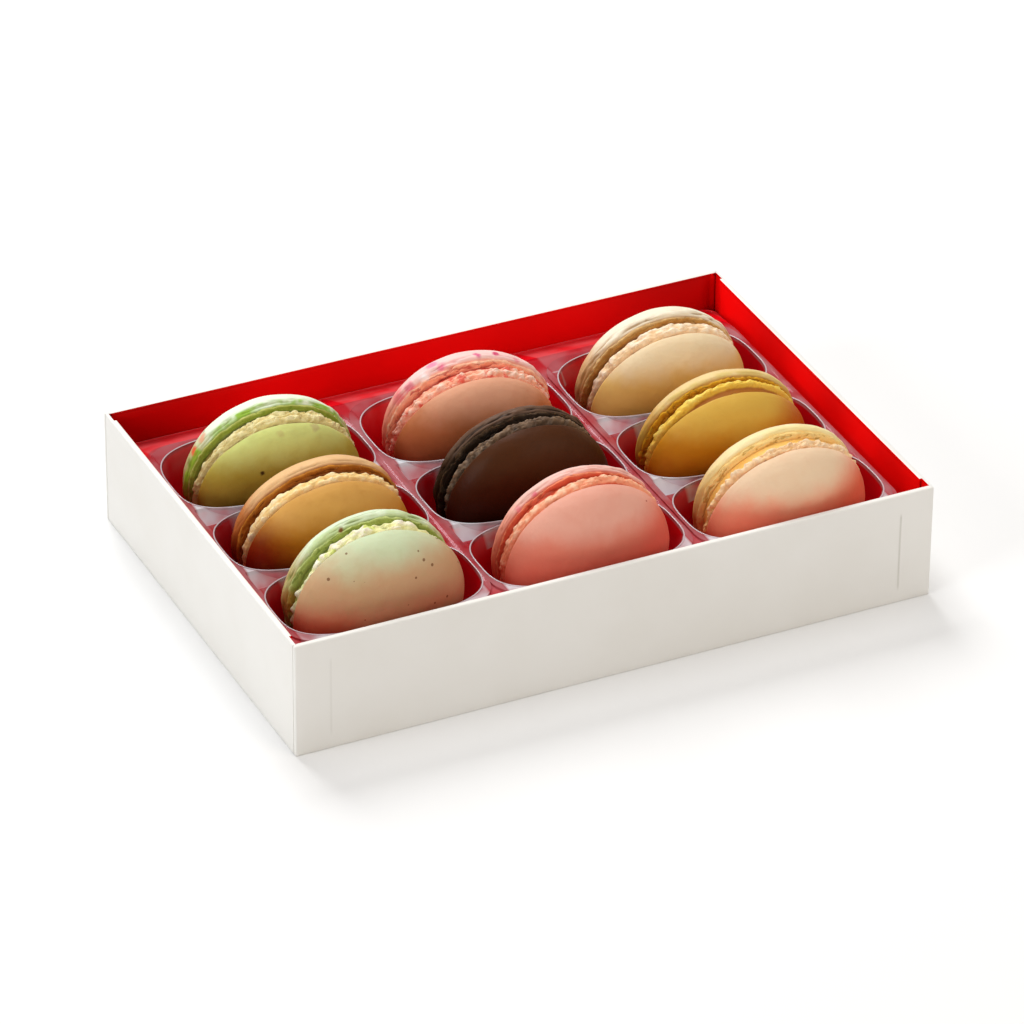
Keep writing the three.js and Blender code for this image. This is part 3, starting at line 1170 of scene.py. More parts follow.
    def cover(self, name: str, inset: float, foot: float) -> Piece:
        """The cover's outer or inner side as a helper solid.

        Args:
            name: the helper's name.
            inset: 0 for the outer side, the film's thickness for the inner one.
            foot: its lowest height.

        Returns:
            The helper solid.
        """
        rim_y = self.levels[3].half_y
        left = self.columns[0] - self.column_half - 0.4 + inset
        right = self.columns[2] + self.column_half + 1 - inset
        front = self.rows[2][2] - rim_y - 0.6 + inset
        back = self.rows[0][0] + rim_y + self.back_extra + 1.6 - inset
        wall_x = self.box.width / 2 - self.box.rim - self.clearance - inset
        wall_y = self.box.depth / 2 - self.box.rim - self.clearance - inset
        lower = self.rounded(-wall_x, -wall_y, wall_x, wall_y, 4, foot)
        shoulder = self.rounded(-wall_x, -wall_y, wall_x, wall_y, 4, self.flange_foot - inset / 2)
        upper = self.rounded(left, front, right, back, 8, self.lid - inset)
        return self.solid(name, [lower, shoulder, upper])

    def build(self, clear: Material) -> Piece:
        """Cut and join the helper solids into the tray.

        Args:
            clear: the film's finish.

        Returns:
            The tray as one piece.
        """
        tray = self.cover("clear_well_tray", 0.0, self.skirt_foot)
        steps: list[tuple[Piece, str]] = [
            (self.cover("helper_inside", self.film, self.skirt_foot - 1), "DIFFERENCE")
        ]
        rim_y = self.levels[3].half_y
        for column, cx in enumerate(self.columns):
            front = self.rows[column][2] - rim_y - 0.6
            back = self.rows[column][0] + rim_y + self.back_extra + 1
            corners = (cx - self.column_half, front, cx + self.column_half, back, self.column_corner)
            low = self.rounded(*corners, self.lid - self.film / 2)
            high = self.rounded(*corners, self.top)
            steps.append((self.solid(f"helper_top_{column}", [low, high]), "UNION"))
        gaps = [(column, row) for column in range(3) for row in range(2)]
        steps += [(self.trough(c, r, self.film), "UNION") for c, r in gaps]
        steps += [(self.trough(c, r, 0.0), "DIFFERENCE") for c, r in gaps]
        places = [(column, row) for column in range(3) for row in range(3)]
        steps += [(self.well(c, r, self.film), "UNION") for c, r in places]
        steps += [(self.well(c, r, 0.0), "DIFFERENCE") for c, r in places]
        for c, r in places:
            extra = self.back_extra if r == 0 else 0.0
            line = self.outline(
                self.columns[c], self.rows[c][r], self.between(self.top), self.film / 2, extra
            )
            steps.append((self.beaded(f"helper_bead_{c}_{r}", line, self.bead), "UNION"))
        edge_x = self.box.width / 2 - self.box.rim - self.clearance
        edge_y = self.box.depth / 2 - self.box.rim - self.clearance
        foot = self.rounded(-edge_x, -edge_y, edge_x, edge_y, 4, self.flange_foot)
        steps.append((self.beaded("helper_foot_bead", foot, 0.3), "UNION"))
        for helper, kind in steps:
            cut = tray.modifiers.new(helper.name, "BOOLEAN")
            cut.object = helper
            cut.operation = kind
            cut.solver = "MANIFOLD"
        plain_mesh(tray)
        for helper, _ in steps:
            bpy.data.objects.remove(helper)
        tray.data.materials.clear()
        tray.data.materials.append(clear)
        tray.data.shade_smooth()
        tray.data.set_sharp_from_angle(angle=math.radians(38))
        return tray


# The macarons


class Side(Enum):
    """Which of a macaron's two shells."""

    BACK = -1
    FRONT = 1


@dataclass(frozen=True)
class Ledge:
    """The filling's proud rope at one angle round a macaron.

    The angle runs from the right over the top; the centre is from the middle plane
    towards the front; the share is of the macaron's radius.
    """

    angle: float
    centre: float
    half: float
    share: float


@dataclass(frozen=True)
class Relief:
    """How uneven one piece is: heights in millimetres, and lengths along and across."""

    pleat: float = 0.3
    pleat_along: float = 5.0
    pleat_across: float = 0.6
    lump: float = 0.2
    lump_along: float = 2.0
    lump_across: float = 1.4
    crack: float = 0.2
    fold: float = 0.03
    swell: float = 0.55
    crumbs: float = 0.8
    crumb_size: float = 0.2


@dataclass(frozen=True)
class Flavour:
    """One macaron: its place, turn, sizes, unevenness and finishes.

    The crease is how far the filling's middle lies in front of the macaron's own.
    """

    name: str
    at: tuple[float, float, float]
    yaw: float
    lean: float
    back: float
    front: float
    thick: float
    seed: int
    groove: float
    ledges: tuple[Ledge, ...]
    back_foot: float
    front_foot: float
    back_relief: Relief
    front_relief: Relief
    cream_relief: Relief
    back_finish: BiscuitFinish
    front_finish: BiscuitFinish
    cream_finish: CreamFinish
    crease: float = 0.0

    def matrix(self) -> Matrix:
        """The macaron's place: its own Z runs through it towards the front.

        Returns:
            The matrix, with its move in metres.
        """
        turn = Matrix.Rotation(math.radians(self.yaw), 4, "Z")
        tip = Matrix.Rotation(math.pi / 2 - math.radians(self.lean), 4, "X")
        return Matrix.Translation(Vector(self.at) * MM) @ turn @ tip


class ReliefTree:
    """The Geometry Nodes tree that ruffles a turned shape and sprinkles crumbs on it."""

    lengths = (
        "Pleat", "Pleat Along", "Pleat Across", "Lump", "Lump Along", "Lump Across", "Crack", "Fold",
        "Swell", "Crumb Size",
    )
    numbers = (*lengths, "Radius", "Seed", "Crumbs")

    def __init__(self) -> None:
        """Build the tree once, for every shell and filling."""
        self.tree = bpy.data.node_groups.new("ruffled_edge", "GeometryNodeTree")
        self.names: dict[str, str] = {}
        face = self.tree.interface
        face.new_socket("Geometry", in_out="INPUT", socket_type="NodeSocketGeometry")
        for name in self.numbers:
            made = face.new_socket(name, in_out="INPUT", socket_type="NodeSocketFloat")
            self.names[name] = made.identifier
        made = face.new_socket("Finish", in_out="INPUT", socket_type="NodeSocketMaterial")
        self.names["Finish"] = made.identifier
        face.new_socket("Geometry", in_out="OUTPUT", socket_type="NodeSocketGeometry")
        self.source = add(self.tree, "NodeGroupInput").outputs
        self.wire()

    def math(self, operation: str, first: Any, second: Any = 0.0) -> Socket:
        """One Math node's result."""
        return maths(self.tree, operation, first, second)

    def vector(self, operation: str, first: Any, second: Any) -> Socket:
        """One Vector Math node's result, where the second input may be a scale."""
        key = "Scale" if operation == "SCALE" else 1
        return add(
            self.tree, "ShaderNodeVectorMath", {0: first, key: second}, operation=operation
        ).outputs[0]

    def mask(self, name: str) -> Socket:
        """A float attribute of the turned shape."""
        return add(
            self.tree, "GeometryNodeInputNamedAttribute", {"Name": name}, data_type="FLOAT"
        ).outputs[0]

    def band(self, along: Any, across: Any) -> Socket:
        """Coordinates round the rim and along the axis, in the given lengths.

        Args:
            along: the length of one step round the rim.
            across: the length of one step along the axis.

        Returns:
            The coordinates' socket.
        """
        turns = self.math("DIVIDE", self.source["Radius"], along)
        around = self.vector("SCALE", self.outward, turns)
        height = self.math("DIVIDE", self.axial, across)
        lift = add(self.tree, "ShaderNodeCombineXYZ", {2: height}).outputs[0]
        return self.vector("ADD", around, lift)

    def noise(self, place: Any, shift: float, scale: float, detail: float) -> Socket:
        """A noise value from 0 to 1 that follows the seed."""
        seed = self.math("ADD", self.source["Seed"], shift)
        return add(
            self.tree, "ShaderNodeTexNoise",
            {"Vector": place, "W": seed, "Scale": scale, "Detail": detail, "Roughness": 0.6},
            noise_dimensions="4D",
        ).outputs[0]

    def crumb(self) -> Socket:
        """One small dented crumb with the attributes that its finish reads.

        Returns:
            The crumb's geometry socket.
        """
        tree = self.tree
        ball = add(tree, "GeometryNodeMeshIcoSphere", {"Radius": 1.0, "Subdivisions": 2}).outputs[0]
        uneven = add(tree, "ShaderNodeTexNoise", {"Scale": 1.3, "Detail": 1.0}).outputs[1]
        shift = self.vector("ADD", uneven, (-0.5, -0.5, -0.5))
        shape = add(tree, "GeometryNodeSetPosition", {"Geometry": ball, "Offset": shift}).outputs[0]
        for name in ("foot", "ledge", "relief"):
            shape = add(
                tree, "GeometryNodeStoreNamedAttribute", {"Geometry": shape, "Name": name, "Value": 0.6},
                data_type="FLOAT", domain="POINT",
            ).outputs[0]
        return shape

    def sprinkle(self, surface: Any, rough: Any) -> Socket:
        """Scatter crumbs over the rough part of a surface and join them to it.

        Args:
            surface: the ruffled mesh.
            rough: the share of roughness at each point.

        Returns:
            The mesh with its crumbs.
        """
        tree, source = self.tree, self.source
        whole_seed = add(
            tree, "FunctionNodeFloatToInt", {0: source["Seed"]}, rounding_mode="ROUND"
        ).outputs[0]
        scattered = add(
            tree, "GeometryNodeDistributePointsOnFaces",
            {
                "Mesh": surface, "Selection": self.math("GREATER_THAN", rough, 0.6),
                "Density": source["Crumbs"], "Seed": whole_seed,
            },
            distribute_method="RANDOM",
        ).outputs[0]
        size = add(
            tree, "FunctionNodeRandomValue", {2: 0.4, 3: 1.0, "Seed": whole_seed}, data_type="FLOAT"
        ).outputs[1]
        turn = add(
            tree, "FunctionNodeRandomValue",
            {0: (0.0, 0.0, 0.0), 1: (6.28, 6.28, 6.28), "Seed": whole_seed}, data_type="FLOAT_VECTOR",
        ).outputs[0]
        placed = add(
            tree, "GeometryNodeInstanceOnPoints",
            {
                "Points": scattered, "Instance": self.crumb(), "Rotation": turn,
                "Scale": self.math("MULTIPLY", size, source["Crumb Size"]),
            },
        ).outputs[0]
        joined = add(tree, "GeometryNodeJoinGeometry")
        tree.links.new(placed, joined.inputs[0])
        tree.links.new(surface, joined.inputs[0])
        return joined.outputs[0]

    def wire(self) -> None:
        """Join the nodes from the turned shape to the finished one."""
        tree, source = self.tree, self.source
        foot, side = self.mask("foot"), self.mask("side")
        position = add(tree, "GeometryNodeInputPosition").outputs[0]
        parts = add(tree, "ShaderNodeSeparateXYZ", {0: position}).outputs
        flat = add(tree, "ShaderNodeCombineXYZ", {0: parts[0], 1: parts[1]}).outputs[0]
        self.outward = add(tree, "ShaderNodeVectorMath", {0: flat}, operation="NORMALIZE").outputs[0]
        self.axial = parts[2]
        long_band = self.band(source["Pleat Along"], source["Pleat Across"])
        pleats = self.noise(long_band, 0.0, 1.0, 3.0)
        lump_band = self.band(source["Lump Along"], source["Lump Across"])
        cells = add(
            tree, "ShaderNodeTexVoronoi",
            {
                "Vector": lump_band, "W": source["Seed"], "Scale": 1.0, "Smoothness": 0.35, "Detail": 1.0,
                "Roughness": 0.3,
            },
            voronoi_dimensions="4D", feature="SMOOTH_F1",
        ).outputs[0]
        lumps = self.math("SUBTRACT", 0.95, cells)
        breaks = self.noise(long_band, 7.3, 0.6, 2.0)
        off = self.math("ABSOLUTE", self.math("SUBTRACT", breaks, 0.5))
        slit = add(
            tree, "ShaderNodeMapRange",
            {"Value": off, "From Min": 0.0, "From Max": 0.06, "To Min": 1.0, "To Max": 0.0},
            interpolation_type="SMOOTHSTEP",
        ).outputs[0]
        push = self.math(
            "MULTIPLY", self.math("SUBTRACT", pleats, 0.5), self.math("MULTIPLY", source["Pleat"], 2.6)
        )
        push = self.math(
            "ADD", push,
            self.math(
                "MULTIPLY", self.math("SUBTRACT", lumps, 0.5), self.math("MULTIPLY", source["Lump"], 2.0)
            ),
        )
        push = self.math("SUBTRACT", push, self.math("MULTIPLY", slit, source["Crack"]))
        push = self.math("MULTIPLY", push, foot)
        radial = self.vector("SCALE", self.outward, push)
        wave = self.noise(
            self.vector("SCALE", self.outward, self.math("DIVIDE", source["Radius"], 0.004)), 3.1, 1.0,
            3.0,
        )
        sway = self.math("MULTIPLY", self.math("SUBTRACT", wave, 0.5), source["Pleat"])
        sway = self.math("MULTIPLY", self.math("MULTIPLY", sway, 2.4), foot)
        axial = add(tree, "ShaderNodeCombineXYZ", {2: sway}).outputs[0]
        creases = self.noise(self.band(0.014, 0.002), 11.7, 1.0, 2.0)
        broad = self.noise(position, 5.9, 110.0, 1.0)
        swell = self.math("MULTIPLY", self.math("SUBTRACT", broad, 0.5), source["Swell"])
        valley = self.math("ABSOLUTE", self.math("SUBTRACT", creases, 0.5))
        valley = self.math("MINIMUM", self.math("MULTIPLY", valley, 7.0), 1.0)
        crease = self.math("MULTIPLY", self.math("SUBTRACT", valley, 0.7), source["Fold"])
        crease = self.math("MULTIPLY", self.math("MULTIPLY", crease, 1.6), side)
        normal = add(tree, "GeometryNodeInputNormal").outputs[0]
        swollen = self.vector("SCALE", normal, self.math("ADD", swell, crease))
        total = self.vector("ADD", self.vector("ADD", radial, axial), swollen)
        mixed = self.math("MULTIPLY", self.math("ADD", pleats, lumps), 0.5)
        on_foot = self.math("SUBTRACT", mixed, self.math("MULTIPLY", slit, 0.06))
        level = add(
            tree, "ShaderNodeMix", {0: side, 2: on_foot, 3: creases}, data_type="FLOAT"
        ).outputs[0]
        folded = self.math("MINIMUM", self.math("DIVIDE", source["Fold"], 0.0005), 1.0)
        folded = self.math(
            "MULTIPLY", self.math("MULTIPLY", folded, side), self.math("SUBTRACT", 1.0, valley)
        )
        # the finishes read crack and relief to paint shade in slits, creases and low relief, and light on
        # proud relief
        cracks = self.math("MAXIMUM", self.math("MULTIPLY", slit, foot), folded)
        stored = source["Geometry"]
        for name, value in (("relief", level), ("crack", cracks)):
            stored = add(
                tree, "GeometryNodeStoreNamedAttribute",
                {"Geometry": stored, "Name": name, "Value": value}, data_type="FLOAT", domain="POINT",
            ).outputs[0]
        moved = add(tree, "GeometryNodeSetPosition", {"Geometry": stored, "Offset": total}).outputs[0]
        whole = self.sprinkle(moved, foot)
        real = add(tree, "GeometryNodeRealizeInstances", {"Geometry": whole}).outputs[0]
        finished = add(
            tree, "GeometryNodeSetMaterial", {"Geometry": real, "Material": source["Finish"]}
        ).outputs[0]
        add(tree, "NodeGroupOutput", {0: finished})

    def apply(self, made: Piece, relief: Relief, radius: float, seed: int, finish: Material) -> None:
        """Run the tree on a turned shape and keep the result as its plain mesh.

        Args:
            made: the turned shape, still in its own place about the origin.
            relief: how uneven it becomes.
            radius: its radius in millimetres.
            seed: which unevenness it gets.
            finish: its material.
        """
        values: dict[str, Any] = {
            name: getattr(relief, name.lower().replace(" ", "_")) * MM for name in self.lengths
        }
        values |= {
            "Radius": radius * MM, "Seed": float(seed), "Crumbs": relief.crumbs * 1e5, "Finish": finish
        }
        modifier = made.modifiers.new("relief", "NODES")
        modifier.node_group = self.tree
        for name, value in values.items():
            modifier[self.names[name]] = value
        plain_mesh(made)


@dataclass
class Macaron:
    """A macaron on edge: two baked shells and the filling between them."""

    flavour: Flavour
    filling_half: float = 2.05
    gap: float = 0.3
    dome_power: float = 2.25
    segments: int = 420
    wider: float = 0.012
    lumpy: float = 0.004
    shoulders: dict[Side, float] = field(default_factory=lambda: {Side.BACK: 0.988, Side.FRONT: 0.968})

    def chance(self, seed: int, counter: int) -> float:
        """The same repeatable value from 0 to 1 as in the solids."""
        wave = math.sin(seed * 12.9898 + counter * 78.233) * 43758.5453
        return wave - math.floor(wave)

    def angles(self) -> np.ndarray:
        """The angle of each segment round the macaron."""
        return 2 * np.pi * np.arange(self.segments) / self.segments

    def swell(self, seed: int) -> np.ndarray:
        """The slow out-of-round swell of the solids, as a share of the radius.

        Args:
            seed: which swell it is.

        Returns:
            One value for each segment.
        """
        angle = self.angles()
        turn = self.chance(seed, 1) - 0.5
        second = 2 * math.pi * self.chance(seed, 2)
        return 1 + self.wider * np.cos(2 * angle + turn) + self.lumpy * np.cos(3 * angle + second)

    def turned(
        self, name: str, radius: np.ndarray, height: np.ndarray, masks: dict[str, np.ndarray]
    ) -> Piece:
        """Turn a section about the local Z axis, with float attributes along it.

        Args:
            name: the piece's name.
            radius: one row of radii for each ring, in millimetres.
            height: each ring's height, in millimetres.
            masks: attribute name to its value at every point of every ring.

        Returns:
            The turned shape, closed by a point at each end.
        """
        angle = self.angles()
        rings = len(height)
        level = np.repeat(height[:, None], self.segments, 1)
        points = np.stack([radius * np.cos(angle), radius * np.sin(angle), level], -1)
        ends = [[0, 0, height[0]], [0, 0, height[-1]]]
        points = np.vstack([points.reshape(-1, 3), ends])
        faces = stacked_faces(rings, self.segments, False, False)
        first, last = rings * self.segments, rings * self.segments + 1
        top = (rings - 1) * self.segments
        for k in range(self.segments):
            follow = (k + 1) % self.segments
            faces.append([first, follow, k])
            faces.append([last, top + k, top + follow])
        made = mesh_of(name, points, faces)
        for mask, values in masks.items():
            whole = np.broadcast_to(values, (rings, self.segments)).ravel()
            whole = np.append(whole, [0.0, 0.0]).astype(np.float32)
            layer = made.data.attributes.new(mask, "FLOAT", "POINT")
            layer.data.foreach_set("value", whole)
        return made

    def shell_line(self, foot: float, height: float, side: Side) -> np.ndarray:
        """A shell's section from the inner face over the foot to the dome's middle.

        Args:
            foot: the foot's height in millimetres.
            height: the shell's height from the inner face.
            side: back or front; the front's shoulder is lower.

        Returns:
            Share of the radius, and height in millimetres, of each ring.
        """
        low = [
            (0.5, 0.0), (0.88, 0.0), (0.925, 0.08), (0.952, 0.26), (0.962, 0.48), (0.958, 0.7),
            (0.946, 0.88), (0.941, 1.0), (0.949, 1.13), (0.963, 1.3), (0.974, 1.55),
        ]
        shoulder = self.shoulders[side]
        line = smooth_curve([(r * shoulder / 0.988, u * foot) for r, u in low], 3)
        start = (1.9 * foot) / height
        steps = start + (1 - start) * (1 - (1 - np.linspace(0, 1, 52)[:-1]) ** 1.8)
        base = min(foot, 0.9) / height
        rise = (steps - base) / (1 - base)
        dome = np.column_stack(
            [shoulder * (1 - rise**self.dome_power) ** (1 / self.dome_power), steps * height]
        )
        return np.vstack([line, dome])

    def shell(self, side: Side, tree: ReliefTree) -> Piece:
        """Make one shell.

        Args:
            side: back or front.
            tree: the tree that ruffles it.

        Returns:
            The shell in its place in the box.
        """
        f = self.flavour
        front = side is Side.FRONT
        radius = f.front if front else f.back
        foot = f.front_foot if front else f.back_foot
        seed = f.seed if front else f.seed + 1
        start = self.filling_half + self.gap
        crease = f.crease if front else -f.crease
        line = self.shell_line(foot, f.thick / 2 - start - crease, side)
        share = line[:, 1] / foot
        crease_wide = max(0.16 * foot, 0.16)
        name = f"{f.name}_{side.name.lower()}"
        made = self.turned(
            f"{name}_shell", radius * line[:, 0][:, None] * self.swell(seed)[None, :], line[:, 1],
            {
                "foot": (
                    np.clip((1.1 - share) / 0.25, 0, 1) * np.clip(line[:, 0] / 0.02 - 44, 0, 1)
                )[:, None],
                # fold and inner mark where the finish paints shade: the crease above the foot and the
                # face against the filling
                "fold": np.exp(-(((line[:, 1] - 1.02 * foot) / crease_wide) ** 2))[:, None],
                "inner": np.clip((0.5 - share) / 0.25, 0, 1)[:, None],
                "rim": (
                    np.clip((share - 0.9) / 0.2, 0, 1) * np.clip((foot + 2.0 - line[:, 1]) / 0.9, 0, 1)
                )[:, None],
                "side": (
                    np.clip((share - 1.1) / 0.3, 0, 1) * np.clip((5.5 - line[:, 1]) / 2.5, 0, 1)
                )[:, None],
            },
        )
        relief = f.front_relief if front else f.back_relief
        finish = f.front_finish if front else f.back_finish
        tree.apply(made, relief, radius, seed, finish.build(name))
        flip = Matrix.Identity(4) if front else Matrix.Rotation(math.pi, 4, "X")
        inner = Matrix.Translation((0, 0, (start + crease) * MM))
        made.data.transform(f.matrix() @ flip @ inner)
        made.data.update()
        return made

    def filling(self, tree: ReliefTree) -> Piece:
        """Make the filling, with a rope that wanders between the shells.

        Args:
            tree: the tree that ruffles it.

        Returns:
            The filling in its place in the box.
        """
        f = self.flavour
        radius = min(f.back, f.front)
        angle = np.degrees(self.angles())
        marks = [ledge.angle for ledge in f.ledges]
        centre, half, share = (
            np.interp(angle, marks, [getattr(ledge, key) for ledge in f.ledges], period=360)
            for key in ("centre", "half", "share")
        )
        height = np.linspace(-self.filling_half, self.filling_half + self.gap, 30)
        height = np.concatenate([height[:1], height, height[-1:]])
        away = (height[:, None] - centre[None, :]) / half[None, :]
        proud = 1 / (1 + away**6)
        wide = f.groove + (share[None, :] - f.groove) * proud
        wide[0] = wide[-1] = 0.5
        proud[0] = proud[-1] = 0.0
        made = self.turned(
            f"{f.name}_filling", radius * wide * self.swell(f.seed + 2)[None, :], height,
            {"foot": np.clip(proud * 1.3, 0, 1), "ledge": proud, "side": np.zeros((1, 1))},
        )
        tree.apply(made, f.cream_relief, radius, f.seed + 2, f.cream_finish.build(f.name))
        made.data.transform(f.matrix() @ Matrix.Translation((0, 0, f.crease * MM)))
        made.data.update()
        return made


def ledges(*rows: tuple[float, float, float, float]) -> tuple[Ledge, ...]:
    """Ledge marks in rising order of angle."""
    return tuple(Ledge(*row) for row in sorted(rows))


